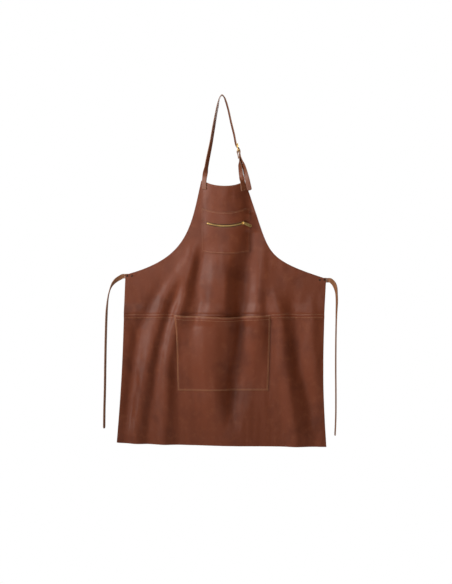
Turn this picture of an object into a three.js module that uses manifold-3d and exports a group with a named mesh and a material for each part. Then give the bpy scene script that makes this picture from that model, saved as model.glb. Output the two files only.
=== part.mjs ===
// Leather bib apron for welding and metal work, hung up by its neck strap.
// Millimetres, +Z up, +X to the wearer's left hand as the front is seen, front towards -Y.
// The origin is the underside of the strap's crown, where a peg or nail carries the apron.
import * as THREE from "three";
import { mergeVertices } from "three/addons/utils/BufferGeometryUtils.js";
import Module from "manifold-3d";

// ---- leather ----
const LEATHER = 1.6; // body panels
const PATCH_LEATHER = 1.4; // chest pocket pieces
const STRAP_THICK = 2.6;
const STRAP_WIDTH = 16;
const TIE_THICK = 2.2;
const TIE_WIDTH = 14.5;
const LAYER_GAP = 1.05; // between stitched layers that follow the same folds
const FIT_GAP = 0.35; // between hardware and what it sits on

// ---- body outline, heights measured down from the hanging point ----
const BACK_Y = 10; // plane of the flanks behind the hanging point
const BIB_TOP = -272.6;
const BIB_TOP_LEFT = -65.6;
const BIB_TOP_RIGHT = 71.3;
const NECK_SCOOP = 5;
const WAIST_LEFT = new THREE.Vector2(-307, -568.5);
const WAIST_RIGHT = new THREE.Vector2(331, -581);
const SEAM_T = -699; // middle of the waist seam
const SEAM_LAP = 20;
const SEAM_LEFT = -312;
const SEAM_RIGHT = 325;
const HEM_LEFT = new THREE.Vector2(-334.5, -1101);
const HEM_RIGHT = new THREE.Vector2(332, -1116);

// ---- front patch pocket ----
const POCKET_TOP = -697;
const POCKET_TALL = 238;
const POCKET_TOP_LEFT = -148;
const POCKET_TOP_RIGHT = 154;
const POCKET_TAPER = 8; // each side leans in by this much at the bottom
const POCKET_GAPE = 15; // how far the mouth stands off the body
const POCKET_MOUTH_DIP = 5;

// ---- chest pocket ----
const CHEST_LEFT = -63;
const CHEST_RIGHT = 88;
const CHEST_TOP = -361;
const CHEST_BOTTOM = -498;
const ZIP_T = -404; // height of the zip's centre line
const WINDOW_HALF = 5.2; // half the slot that shows the zip
const TAPE_OUT = 15;
const TAPE_THICK = 0.6;

// ---- how the bib bows forward: a circular arc in a tilted plane ----
const BOW_MID = 9;
const BOW_HALF = 57.5;
const BOW_DEPTH = 12;
const BOW_SAG = 10;
const BOW_RISE = Math.hypot(BOW_DEPTH, BOW_SAG);
const BOW_RADIUS = (BOW_HALF ** 2 + BOW_RISE ** 2) / (2 * BOW_RISE);
const BOW_EXACT = 63; // the arc is exact out to this distance from its middle

// ---- zip ----
const TOOTH_PITCH = 3.6;
const TOOTH_WIDE = 1.4;
const TOOTH_REACH = 1.3;
const CHAIN_HALF = 3.1;
const CHAIN_SPINE = 1.4;
const CHAIN_BACK = 1.5;
const CHAIN_THICK = 2.4;
const CHAIN_LEFT = -58;
const CHAIN_RIGHT = 58;
const SLIDER_AT = 56; // distance of the closed slider from the arc's middle
const SLIDER_LONG = 9;
const SLIDER_PLATE = 1.2;
const SLIDER_WALL = 0.9;
const SLIDER_CLEAR = 0.55;
const BAIL_HIGH = 5.2;
const BAIL_WIRE = 1.5;
const BAIL_SPAN = 8.4;
const TAB_LONG = 29;
const TAB_WIDE = 9;
const TAB_NECK = 5;
const TAB_THICK = 1.5;
const TAB_HOLE = 4.4;
const TAB_DROOP = -39; // degrees from the chain's direction

// ---- buckle, in its own frame: a down the strap, b across it, c outwards ----
const BUCKLE_AT = new THREE.Vector3(49.2, -0.5, -166.5);
const BUCKLE_LEAN = 8.6;
const BUCKLE_LONG = 26;
const BUCKLE_BAR = 3;
const BUCKLE_THICK = 2.6;
const BUCKLE_SIDE_GAP = 0.9;
const TONGUE_THICK = 2.2;
const TONGUE_OVER = 2.4; // how far the tongue reaches past the far bar
const STRAP_HOLE = 4;
const HOLE_PITCH = 25;

// ---- rivets ----
const RIVET_CAP = 6;
const RIVET_CAP_HIGH = 1.6;
const RIVET_POST = 3;
const RIVET_PITCH = 15.5;
const RIVET_INSET = 11;

// ---- mesh steps ----
const BODY_STEP = 14;
const POCKET_STEP = 11;
const CHEST_STEP = 10;
const ROW_STEP = 28;

const wasm = await Module();
wasm.setup();

const smooth = (a, b, x) => THREE.MathUtils.smoothstep(x, a, b);
const lerp = THREE.MathUtils.lerp;
const rad = THREE.MathUtils.degToRad;

// Value at height t of a quantity given at a few heights, top first.
function profile(t, stops) {
  for (let i = 1; i < stops.length; i++) {
    const [t0, v0] = stops[i - 1];
    const [t1, v1] = stops[i];
    if (t >= t1) return lerp(v0, v1, smooth(0, 1, THREE.MathUtils.clamp((t0 - t) / (t0 - t1), 0, 1)));
  }
  return stops[stops.length - 1][1];
}

// The bow across the bib: 1 in the middle, 0 at the arc's ends, easing to -rest on the flanks.
function bow(d, rest) {
  const far = Math.abs(d);
  const height = (x) => (Math.sqrt(BOW_RADIUS ** 2 - x ** 2) - BOW_RADIUS + BOW_RISE) / BOW_RISE;
  if (far <= BOW_EXACT) return height(far);
  const edge = height(BOW_EXACT);
  const slope = BOW_EXACT / Math.sqrt(BOW_RADIUS ** 2 - BOW_EXACT ** 2) / BOW_RISE;
  const left = rest + edge;
  return edge - left * (1 - Math.exp((-(far - BOW_EXACT) * slope) / left));
}

// Hanging folds: crest (height > 0) or valley line through a few points, with its half width.
const FOLDS = [
  { height: 8, wide: 24, line: [[-70, -440], [-124, -560], [-187, -655], [-241, -870], [-272, -1075]] },
  { height: 9, wide: 24, line: [[-84, -500], [-112, -600], [-140, -715], [-174, -850], [-184, -1075]] },
  { height: 10, wide: 46, line: [[6, -470], [4, -620], [-30, -760], [-32, -880], [-20, -1000]] },
  { height: -11, wide: 30, line: [[78, -470], [62, -600], [58, -743], [48, -870], [34, -1000]] },
  { height: 6, wide: 24, line: [[120, -470], [124, -560], [112, -700], [118, -800]] },
  { height: 9, wide: 30, line: [[168, -590], [188, -720], [200, -860], [216, -965], [236, -1075]] },
  { height: -6, wide: 24, line: [[222, -640], [238, -760], [254, -880], [282, -1000]] },
  { height: 5, wide: 24, line: [[286, -640], [288, -760], [296, -880]] },
  { height: -7, wide: 22, line: [[-262, -700], [-282, -860], [-300, -1000]] },
  { height: 6, wide: 50, line: [[66, -930], [72, -1050]] },
];
const FOLD_EASE = 90; // a fold grows from nothing over this height

// Where a fold's line stands at height t, and how much of its height is left there.
function foldAt(fold, t) {
  const line = fold.line;
  const first = line[0];
  const last = line[line.length - 1];
  let s = t > first[1] ? first[0] : last[0];
  for (let i = 1; i < line.length; i++) {
    const [s0, t0] = line[i - 1];
    const [s1, t1] = line[i];
    if (t <= t0 && t >= t1) s = lerp(s0, s1, (t0 - t) / (t0 - t1));
  }
  const open = last[1] < -1040 ? 1 : smooth(last[1] - FOLD_EASE, last[1] + FOLD_EASE / 3, t);
  const begun = 1 - smooth(first[1] - FOLD_EASE, first[1] + FOLD_EASE / 3, t);
  return { s, share: begun * open };
}

function foldDepth(s, t) {
  let sum = 0;
  for (const fold of FOLDS) {
    const { s: middle, share } = foldAt(fold, t);
    sum += fold.height * share * Math.exp(-(((s - middle) / fold.wide) ** 2));
  }
  return sum;
}

// A point of the hanging leather for a place (s, t) on its front view.
function cloth(s, t) {
  const depth = profile(t, [[-273, 14], [ZIP_T + 25, BOW_DEPTH], [ZIP_T - 25, BOW_DEPTH], [-560, 9], [-760, 5]]);
  const sag = profile(t, [[-300, BOW_SAG], [ZIP_T - 25, BOW_SAG], [-520, 4], [-620, 0]]);
  const forward = depth * (1 + bow(s - BOW_MID, 1)) + foldDepth(s, t);
  return new THREE.Vector3(s, BACK_Y - forward, t - sag * bow(s - BOW_MID, 0.3));
}

function clothNormal(s, t) {
  const across = cloth(s + 0.5, t).sub(cloth(s - 0.5, t));
  const up = cloth(s, t + 0.5).sub(cloth(s, t - 0.5));
  return across.cross(up).normalize();
}

// The point at a distance in front of the leather's middle surface.
function place(s, t, off) {
  return cloth(s, t).addScaledVector(clothNormal(s, t), off);
}

// Moves every corner of a geometry; the function takes and returns a Vector3.
function bend(geometry, move) {
  const position = geometry.getAttribute("position");
  const point = new THREE.Vector3();
  for (let i = 0; i < position.count; i++) {
    point.fromBufferAttribute(position, i);
    const to = move(point);
    position.setXYZ(i, to.x, to.y, to.z);
  }
  geometry.computeVertexNormals();
  return geometry;
}

// A closed sheet: at(u, v) gives its place on the front view, off(u, v) how far in front it lies.
function sheet(columns, rows, thick, at, off) {
  const box = new THREE.BoxGeometry(1, 1, 1, columns, rows, 1);
  return bend(box, (p) => {
    const u = p.x + 0.5;
    const v = p.y + 0.5;
    const [s, t] = at(u, v);
    return place(s, t, off(u, v) + p.z * thick);
  });
}

// ---- booleans ----
function solid(geometry) {
  const bare = geometry.clone();
  bare.deleteAttribute("normal");
  bare.deleteAttribute("uv");
  const merged = mergeVertices(bare, 1e-4);
  const vertProperties = new Float32Array(merged.getAttribute("position").array);
  const triVerts = new Uint32Array(merged.getIndex().array);
  return new wasm.Manifold(new wasm.Mesh({ numProp: 3, vertProperties, triVerts }));
}

function geometryOf(body) {
  const mesh = body.getMesh();
  const geometry = new THREE.BufferGeometry();
  geometry.setAttribute("position", new THREE.BufferAttribute(new Float32Array(mesh.vertProperties), 3));
  geometry.setIndex(new THREE.BufferAttribute(new Uint32Array(mesh.triVerts), 1));
  geometry.computeVertexNormals();
  return geometry;
}

const cut = (geometry, tools) =>
  geometryOf(tools.reduce((body, tool) => body.subtract(solid(tool)), solid(geometry)));

const fuse = (pieces) =>
  geometryOf(pieces.slice(1).reduce((body, piece) => body.add(solid(piece)), solid(pieces[0])));

// ---- materials and nodes ----
const metal = (color, roughness) => new THREE.MeshStandardMaterial({ color, roughness, metalness: 1 });
const hide = (color) => new THREE.MeshStandardMaterial({ color, roughness: 0.45, metalness: 0 });
const LEATHER_BROWN = 0x77452f;
const STRAP_BROWN = 0x6d402c;
const BRASS = 0xb9924f;
const DARK_BRASS = 0x6a5230;
const TAPE_BROWN = 0x4a3020;

const apron = new THREE.Group();

function node(name, geometry, material, matrix) {
  const mesh = new THREE.Mesh(geometry, material);
  mesh.name = name;
  if (matrix) matrix.decompose(mesh.position, mesh.quaternion, mesh.scale);
  apron.add(mesh);
  return mesh;
}

// ---- body panels ----
const armhole = {
  left: new THREE.CubicBezierCurve(
    new THREE.Vector2(BIB_TOP_LEFT, BIB_TOP),
    new THREE.Vector2(-100, -419),
    new THREE.Vector2(-103, -516),
    WAIST_LEFT,
  ),
  right: new THREE.CubicBezierCurve(
    new THREE.Vector2(BIB_TOP_RIGHT, BIB_TOP),
    new THREE.Vector2(160, -497),
    new THREE.Vector2(108, -511),
    WAIST_RIGHT,
  ),
};
const bibBottomT = SEAM_T - SEAM_LAP / 2;
const skirtTopT = SEAM_T + SEAM_LAP / 2;
const ARMHOLE_ROWS = 15;
const WAIST_ROWS = Math.round((WAIST_LEFT.y - skirtTopT) / ROW_STEP);
const BIB_ROWS = 1 + WAIST_ROWS + ARMHOLE_ROWS;
const BODY_COLUMNS = Math.round((SEAM_RIGHT - SEAM_LEFT) / BODY_STEP);
const seamEnds = (t) => [new THREE.Vector2(SEAM_LEFT, t), new THREE.Vector2(SEAM_RIGHT, t)];

// The ends of the bib's row at v: one row of lap, then up to the waist corners and the neckline.
function bibRow(v) {
  const row = v * BIB_ROWS;
  if (row <= 1) return seamEnds(lerp(bibBottomT, skirtTopT, row));
  if (row <= 1 + WAIST_ROWS) {
    const w = (row - 1) / WAIST_ROWS;
    const [left, right] = seamEnds(skirtTopT);
    return [left.lerp(WAIST_LEFT, w), right.lerp(WAIST_RIGHT, w)];
  }
  const w = 1 - (row - 1 - WAIST_ROWS) / ARMHOLE_ROWS;
  return [armhole.left.getPoint(w), armhole.right.getPoint(w)];
}

function bibPlace(u, v) {
  const [left, right] = bibRow(v);
  const s = lerp(left.x, right.x, u);
  const scoop = NECK_SCOOP * (1 - (2 * u - 1) ** 4) * smooth(-360, BIB_TOP, left.y);
  return [s, lerp(left.y, right.y, u) - scoop];
}

// Above the lap the bib lies in the body's surface; at the lap it steps out over the skirt.
const lapStep = LEATHER + LAYER_GAP;
const bibOff = (t) => lapStep * (1 - smooth(skirtTopT + 4, skirtTopT + 34, t));

const bibSheet = sheet(BODY_COLUMNS, BIB_ROWS, LEATHER, bibPlace, (u, v) => {
  return bibOff(bibPlace(u, v)[1]);
});

// The skirt's rows: evenly from the hem to the bib's lower edge, then one row behind the lap.
const HEM_ROWS = Math.round((bibBottomT - HEM_LEFT.y) / ROW_STEP);
function skirtPlace(u, v) {
  const row = v * (HEM_ROWS + 1);
  if (row > HEM_ROWS) return [lerp(SEAM_LEFT, SEAM_RIGHT, u), lerp(bibBottomT, skirtTopT, row - HEM_ROWS)];
  const w = row / HEM_ROWS;
  const [seamLeft, seamRight] = seamEnds(bibBottomT);
  const left = HEM_LEFT.clone().lerp(seamLeft, w);
  const right = HEM_RIGHT.clone().lerp(seamRight, w);
  const ease = 3 * Math.sin(Math.PI * w);
  return [lerp(left.x + ease, right.x - 2 * ease, u), lerp(left.y, right.y, u ** 0.55)];
}
const skirtSheet = sheet(BODY_COLUMNS, HEM_ROWS + 1, LEATHER, skirtPlace, () => 0);

// ---- front pocket ----
function pocketPlace(u, v) {
  const taper = POCKET_TAPER * (1 - v);
  const left = POCKET_TOP_LEFT + taper;
  const right = POCKET_TOP_RIGHT - taper;
  const t = POCKET_TOP - POCKET_TALL * (1 - v) - POCKET_MOUTH_DIP * v * Math.sin(Math.PI * u);
  return [lerp(left, right, u), t];
}

// The lower edge and the sides are stitched down; the mouth stands open in the middle.
function pocketOff(u, v) {
  const [, t] = pocketPlace(u, v);
  const seat = lapStep + lapStep * smooth(bibBottomT - 26, bibBottomT, t);
  const open = (1 - (2 * u - 1) ** 4) * smooth(0, 0.9, v);
  return seat + POCKET_GAPE * open;
}
const pocketColumns = Math.round((POCKET_TOP_RIGHT - POCKET_TOP_LEFT) / POCKET_STEP);
const pocketRows = Math.round(POCKET_TALL / ROW_STEP);
const pocketSheet = sheet(pocketColumns, pocketRows, LEATHER, pocketPlace, pocketOff);

// ---- chest pocket ----
const chestColumns = Math.round((CHEST_RIGHT - CHEST_LEFT) / CHEST_STEP);
const tapeBack = LEATHER / 2 + LAYER_GAP / 2;
const patchOff = tapeBack + TAPE_THICK + LAYER_GAP / 2 + PATCH_LEATHER / 2;
const between = (s0, s1, t0, t1) => (u, v) => [lerp(s0, s1, u), lerp(t0, t1, v)];
const chestBand = sheet(
  chestColumns, 2, PATCH_LEATHER,
  between(CHEST_LEFT, CHEST_RIGHT, ZIP_T + WINDOW_HALF, CHEST_TOP),
  () => patchOff,
);
const chestPanel = sheet(
  chestColumns, 5, PATCH_LEATHER,
  between(CHEST_LEFT, CHEST_RIGHT, CHEST_BOTTOM, ZIP_T - WINDOW_HALF),
  () => patchOff,
);

// ---- zip, laid along the bow's arc ----
const arcNormal = new THREE.Vector3(0, -BOW_DEPTH, -BOW_SAG).normalize(); // from centre to arc
const arcAxis = new THREE.Vector3(1, 0, 0).cross(arcNormal).normalize();
const arcMiddle = cloth(BOW_MID, ZIP_T);
const arcCentre = arcMiddle.clone().addScaledVector(arcNormal, -BOW_RADIUS);
const endTurn = Math.asin(SLIDER_AT / BOW_RADIUS);

// Chain directions at the arc's middle, chosen so that they match the leather at the closed end.
function chainBasis() {
  const turnBack = new THREE.Quaternion().setFromAxisAngle(arcAxis, endTurn);
  const out = clothNormal(BOW_MID + SLIDER_AT, ZIP_T).applyQuaternion(turnBack);
  out.x = 0;
  out.normalize();
  return { out, up: out.clone().cross(new THREE.Vector3(1, 0, 0)).normalize() };
}
const chain = chainBasis();

// A turned frame at a distance along the chain from the arc's middle, as a matrix.
function chainFrame(along) {
  const turn = new THREE.Quaternion().setFromAxisAngle(arcAxis, -along / BOW_RADIUS);
  const basis = new THREE.Matrix4().makeBasis(new THREE.Vector3(1, 0, 0), chain.up, chain.out);
  const about = new THREE.Matrix4().makeTranslation(arcMiddle.x, arcMiddle.y, arcMiddle.z).multiply(basis);
  return new THREE.Matrix4()
    .makeTranslation(arcCentre.x, arcCentre.y, arcCentre.z)
    .multiply(new THREE.Matrix4().makeRotationFromQuaternion(turn))
    .multiply(new THREE.Matrix4().makeTranslation(-arcCentre.x, -arcCentre.y, -arcCentre.z))
    .multiply(about);
}

const onChain = (p) => new THREE.Vector3(0, p.y, p.z).applyMatrix4(chainFrame(p.x));

// A comb of teeth on a spine; side is 1 above the centre line and -1 below it.
function comb(side) {
  const long = CHAIN_RIGHT - CHAIN_LEFT;
  const count = Math.floor((long - TOOTH_PITCH) / TOOTH_PITCH);
  const first = CHAIN_LEFT + TOOTH_PITCH / 2 + (side > 0 ? 0 : TOOTH_PITCH / 2);
  const spine = new THREE.BoxGeometry(long, CHAIN_SPINE, CHAIN_THICK, 24, 1, 1);
  spine.translate((CHAIN_LEFT + CHAIN_RIGHT) / 2, side * (CHAIN_HALF - CHAIN_SPINE / 2), 0);
  const pieces = [spine];
  const tall = CHAIN_HALF - CHAIN_SPINE / 2 + TOOTH_REACH;
  for (let i = 0; i < count; i++) {
    const tooth = new THREE.BoxGeometry(TOOTH_WIDE, tall, CHAIN_THICK - 0.3);
    tooth.translate(first + i * TOOTH_PITCH, side * (tall / 2 - TOOTH_REACH), 0);
    pieces.push(tooth);
  }
  const lift = CHAIN_BACK + CHAIN_THICK / 2;
  return fuse(pieces.map((piece) => bend(piece.translate(0, 0, lift), onChain)));
}

// A woven tape strip behind the leather, from the comb outwards.
function tape(side) {
  const low = CHAIN_HALF + FIT_GAP;
  const long = CHAIN_RIGHT - CHAIN_LEFT + 10;
  const strip = new THREE.BoxGeometry(long, TAPE_OUT - low, TAPE_THICK, chestColumns, 1, 1);
  strip.translate((CHAIN_LEFT + CHAIN_RIGHT) / 2, (side * (TAPE_OUT + low)) / 2, 0);
  return bend(strip, (p) => place(BOW_MID + BOW_RADIUS * Math.sin(p.x / BOW_RADIUS), ZIP_T + p.y,
    tapeBack + TAPE_THICK / 2 + p.z));
}

// ---- zip slider: a plate with side walls over the chain, and a bail for the pull ----
const sliderAlong = BOW_RADIUS * endTurn;
const sliderFrame = chainFrame(sliderAlong);
const plateBack = CHAIN_BACK + CHAIN_THICK + SLIDER_CLEAR;
const plateFront = plateBack + SLIDER_PLATE;
const wallIn = CHAIN_HALF + SLIDER_CLEAR;
const wallOut = wallIn + SLIDER_WALL;
const wallBack = tapeBack + TAPE_THICK + SLIDER_CLEAR;
const bailCentre = plateFront + BAIL_HIGH - BAIL_WIRE / 2;

function sliderGeometry() {
  const section = new THREE.Shape();
  section.moveTo(-wallOut, wallBack);
  section.lineTo(-wallIn, wallBack);
  section.lineTo(-wallIn, plateBack);
  section.lineTo(wallIn, plateBack);
  section.lineTo(wallIn, wallBack);
  section.lineTo(wallOut, wallBack);
  section.lineTo(wallOut, plateFront - 0.5);
  section.lineTo(wallOut - 0.6, plateFront);
  section.lineTo(-wallOut + 0.6, plateFront);
  section.lineTo(-wallOut, plateFront - 0.5);
  const body = new THREE.ExtrudeGeometry(section, { depth: SLIDER_LONG, bevelEnabled: false });
  body.applyMatrix4(new THREE.Matrix4().makeBasis(
    new THREE.Vector3(0, 1, 0), new THREE.Vector3(0, 0, 1), new THREE.Vector3(1, 0, 0)));
  body.translate(-SLIDER_LONG / 2, 0, 0);
  const bar = new THREE.CylinderGeometry(BAIL_WIRE / 2, BAIL_WIRE / 2, BAIL_SPAN, 10);
  bar.translate(0, 0, bailCentre);
  const posts = [-1, 1].map((side) => {
    const post = new THREE.BoxGeometry(BAIL_WIRE, BAIL_WIRE, bailCentre - plateBack);
    post.translate(0, (side * (BAIL_SPAN - BAIL_WIRE)) / 2, (bailCentre + plateBack) / 2 + 0.2);
    return post;
  });
  const bail = fuse([bar, ...posts]);
  bail.rotateZ(rad(TAB_DROOP));
  return fuse([body, bail]);
}

// ---- zip pull: a flat tab with an eye round the bail's bar ----
function pullGeometry() {
  const eye = BAIL_WIRE / 2 + 0.45;
  const rim = 1.2;
  const half = TAB_WIDE / 2;
  const neck = TAB_NECK / 2;
  const shape = new THREE.Shape();
  shape.moveTo(-eye - rim, -neck);
  shape.lineTo(eye + rim, -neck);
  shape.quadraticCurveTo(eye + rim + 2.5, -half, eye + rim + 5, -half);
  shape.lineTo(TAB_LONG - half, -half);
  shape.absarc(TAB_LONG - half, 0, half, -Math.PI / 2, Math.PI / 2);
  shape.lineTo(eye + rim + 5, half);
  shape.quadraticCurveTo(eye + rim + 2.5, half, eye + rim, neck);
  shape.lineTo(-eye - rim, neck);
  shape.holes.push(new THREE.Path().absarc(TAB_LONG - half - 0.6, 0, TAB_HOLE / 2, 0, 2 * Math.PI));
  const tab = new THREE.ExtrudeGeometry(shape, {
    depth: TAB_THICK - 0.6, bevelThickness: 0.3, bevelSize: 0.3, bevelOffset: -0.3,
    bevelSegments: 1, curveSegments: 10,
  });
  tab.translate(0, 0, -(TAB_THICK - 0.6) / 2);
  const barrel = new THREE.CylinderGeometry(eye + rim, eye + rim, TAB_NECK, 16);
  const bore = new THREE.CylinderGeometry(eye, eye, TAB_NECK + 4, 16);
  return cut(fuse([tab, barrel]), [bore]);
}
const pullFrame = sliderFrame.clone()
  .multiply(new THREE.Matrix4().makeTranslation(0, 0, bailCentre))
  .multiply(new THREE.Matrix4().makeRotationZ(rad(TAB_DROOP)));

// ---- straps ----
// A band along a curve. The twist, in degrees, turns its width from the Y axis towards the front view.
function band(curve, wide, thick, steps, twist) {
  const box = new THREE.BoxGeometry(wide, 1, thick, 2, steps, 1);
  return bend(box, (p) => {
    const w = THREE.MathUtils.clamp(p.y + 0.5, 0, 1);
    const middle = curve.getPointAt(w);
    const along = curve.getTangentAt(w);
    const across = new THREE.Vector3(0, 1, 0);
    across.addScaledVector(along, -across.dot(along)).normalize();
    across.applyAxisAngle(along, rad(twist(w)));
    const out = across.clone().cross(along);
    return middle.addScaledVector(across, p.x).addScaledVector(out, p.z);
  });
}

// Buckle frame: a runs down the strap, b towards the wearer, c outwards to the right.
const lean = rad(BUCKLE_LEAN);
const downStrap = new THREE.Vector3(Math.sin(lean), 0, -Math.cos(lean));
const outStrap = new THREE.Vector3(Math.cos(lean), 0, Math.sin(lean));
const buckleFrame = new THREE.Matrix4()
  .makeBasis(downStrap, new THREE.Vector3().crossVectors(outStrap, downStrap), outStrap)
  .setPosition(BUCKLE_AT);
const atBuckle = (a, c) => new THREE.Vector3(a, 0, c).applyMatrix4(buckleFrame);
const barAt = (BUCKLE_LONG - BUCKLE_BAR) / 2;
const wrapRadius = BUCKLE_BAR / 2 + FIT_GAP + STRAP_THICK / 2 + 0.25;
const tailOut = wrapRadius + STRAP_THICK + FIT_GAP + 0.2;
const innerSide = -(BUCKLE_THICK / 2 + FIT_GAP + STRAP_THICK / 2 + 0.1);

// Degrees by which the leather at a place turns away from the front view.
function seatLean(s, t) {
  const out = clothNormal(s, t);
  return THREE.MathUtils.radToDeg(Math.atan2(Math.abs(out.x), -out.y));
}

const strapSeatOff = LEATHER / 2 + LAYER_GAP + STRAP_THICK / 2;
const leftSeat = place(-55, -300, strapSeatOff);
const leftCorner = place(-55, -276, strapSeatOff);
const rightSeat = place(66.5, -303, strapSeatOff);
const rightCorner = place(64.5, -279, strapSeatOff);

// The tail hangs beside the buckle strap, half a strap's width clear of it.
const tailClear = STRAP_WIDTH / 2;
const neckCurve = new THREE.CatmullRomCurve3([
  leftSeat,
  leftCorner,
  new THREE.Vector3(-46.9, -3, -212.7),
  new THREE.Vector3(-34.9, 0, -152),
  new THREE.Vector3(-23.8, 0, -86.5),
  new THREE.Vector3(-13, 0, -30.7),
  new THREE.Vector3(-6.2, 0, -6),
  new THREE.Vector3(0, 0, STRAP_THICK / 2),
  new THREE.Vector3(7, 0, -6),
  new THREE.Vector3(18, 0, -38),
  new THREE.Vector3(29, 0, -86.5),
  new THREE.Vector3(38.5, 0, -125.5),
  atBuckle(-barAt, innerSide),
  atBuckle(-barAt + 6, innerSide + 1.6),
  atBuckle(barAt - 7, tailOut - 1.8),
  atBuckle(barAt, tailOut),
  atBuckle(barAt + 9, tailOut - 1.5),
  new THREE.Vector3(60.6, -1.5, -206),
  new THREE.Vector3(61 + tailClear, -5, -226),
  new THREE.Vector3(70.5 + tailClear, -12, -262),
  new THREE.Vector3(79.5 + tailClear, -16, -302),
], false, "centripetal");
const NECK_STEPS = 92;

// Flat on the bib at its seat, turning slowly on edge towards the peg, on edge through the buckle,
// half turned at the tail. Stops are shares of the strap's length, written as heights below zero.
const NECK_TURNS = [
  [-0.055, 90 + seatLean(-57, -288)], [-0.115, 43], [-0.29, 30], [-0.42, 19], [-0.487, 0],
  [-0.535, 12], [-0.6, 12], [-0.66, 0], [-0.8, 0], [-0.97, 48],
];
const neckTwist = (w) => -profile(-w, NECK_TURNS);
const strapBlank = band(neckCurve, STRAP_WIDTH, STRAP_THICK, NECK_STEPS, neckTwist);

// Buckle strap: up from the bib's corner, over the buckle's heel bar and back down inside.
function aroundBar(count) {
  const points = [];
  for (let i = 0; i <= count; i++) {
    const angle = (Math.PI * i) / count;
    points.push(atBuckle(barAt - wrapRadius * Math.sin(angle), wrapRadius * Math.cos(angle)));
  }
  return points;
}
const buckleCurve = new THREE.CatmullRomCurve3([
  rightSeat,
  rightCorner,
  new THREE.Vector3(60.3, -5, -250),
  new THREE.Vector3(56.6, -1, -219),
  atBuckle(barAt + 14, 1.6),
  ...aroundBar(6),
  atBuckle(barAt + 8, -STRAP_THICK / 2 - 0.9),
  atBuckle(barAt + 22, -STRAP_THICK / 2 - 0.6),
], false, "centripetal");
const BUCKLE_TURNS = [[-0.17, 90 + seatLean(65, -290)], [-0.33, 28], [-0.52, 14], [-0.62, 0]];
const buckleTwist = (w) => profile(-w, BUCKLE_TURNS);
const buckleStrapBlank = band(buckleCurve, STRAP_WIDTH, STRAP_THICK, 44, buckleTwist);

// ---- buckle ----
function roundedRect(long, wide, corner, Kind) {
  const a = long / 2;
  const b = wide / 2;
  const path = new Kind();
  path.moveTo(-a + corner, -b);
  path.lineTo(a - corner, -b);
  path.absarc(a - corner, -b + corner, corner, -Math.PI / 2, 0);
  path.lineTo(a, b - corner);
  path.absarc(a - corner, b - corner, corner, 0, Math.PI / 2);
  path.lineTo(-a + corner, b);
  path.absarc(-a + corner, b - corner, corner, Math.PI / 2, Math.PI);
  path.lineTo(-a, -b + corner);
  path.absarc(-a + corner, -b + corner, corner, Math.PI, 1.5 * Math.PI);
  return path;
}
const buckleWide = STRAP_WIDTH + 2 * (BUCKLE_SIDE_GAP + BUCKLE_BAR);
function buckleGeometry() {
  const outline = roundedRect(BUCKLE_LONG, buckleWide, 4, THREE.Shape);
  const inside = [BUCKLE_LONG - 2 * BUCKLE_BAR, buckleWide - 2 * BUCKLE_BAR];
  outline.holes.push(roundedRect(inside[0], inside[1], 0.8, THREE.Path));
  const frame = new THREE.ExtrudeGeometry(outline, {
    depth: BUCKLE_THICK - 1.2, bevelThickness: 0.6, bevelSize: 0.6, bevelOffset: -0.6,
    bevelSegments: 2, curveSegments: 5,
  });
  return frame.translate(0, 0, -(BUCKLE_THICK - 1.2) / 2);
}

// Tongue: an eye round the heel bar and a finger that rests on the far bar.
const eyeIn = Math.hypot(BUCKLE_BAR, BUCKLE_THICK) / 2 + FIT_GAP;
const eyeOut = eyeIn + 1.3;
const tongueC = BUCKLE_THICK / 2 + FIT_GAP + TONGUE_THICK / 2;
function tongueGeometry(grow) {
  const wide = TONGUE_THICK + 2 * grow;
  const eye = new THREE.CylinderGeometry(eyeOut + grow, eyeOut + grow, wide, 16);
  eye.translate(barAt, 0, 0);
  const reach = 2 * barAt + BUCKLE_BAR / 2 + TONGUE_OVER + 2 * grow;
  const finger = new THREE.BoxGeometry(reach, wide, TONGUE_THICK + 2 * grow);
  finger.translate(barAt - reach / 2 + grow, 0, tongueC);
  const body = fuse([eye, finger]);
  if (grow) return body;
  return cut(body, [new THREE.CylinderGeometry(eyeIn, eyeIn, wide + 4, 16).translate(barAt, 0, 0)]);
}

// The space the tongue needs in the straps, in the object's frame.
const tongueRoom = tongueGeometry((STRAP_HOLE - TONGUE_THICK) / 2).applyMatrix4(buckleFrame);

// Punched holes along the strap, square to it, at equal steps from the buckle.
function strapHoles() {
  const length = neckCurve.getLength();
  const atTongue = 0.735;
  return [-3, -2, 2, 3].map((step) => {
    const w = atTongue + (step * HOLE_PITCH) / length;
    const middle = neckCurve.getPointAt(w);
    const along = neckCurve.getTangentAt(w);
    const across = new THREE.Vector3(0, 1, 0);
    across.addScaledVector(along, -across.dot(along)).normalize();
    across.applyAxisAngle(along, rad(neckTwist(w)));
    const out = across.cross(along);
    const punch = new THREE.CylinderGeometry(STRAP_HOLE / 2, STRAP_HOLE / 2, 4 * STRAP_THICK, 10);
    punch.applyQuaternion(new THREE.Quaternion().setFromUnitVectors(new THREE.Vector3(0, 1, 0), out));
    return punch.translate(middle.x, middle.y, middle.z);
  });
}

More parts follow.
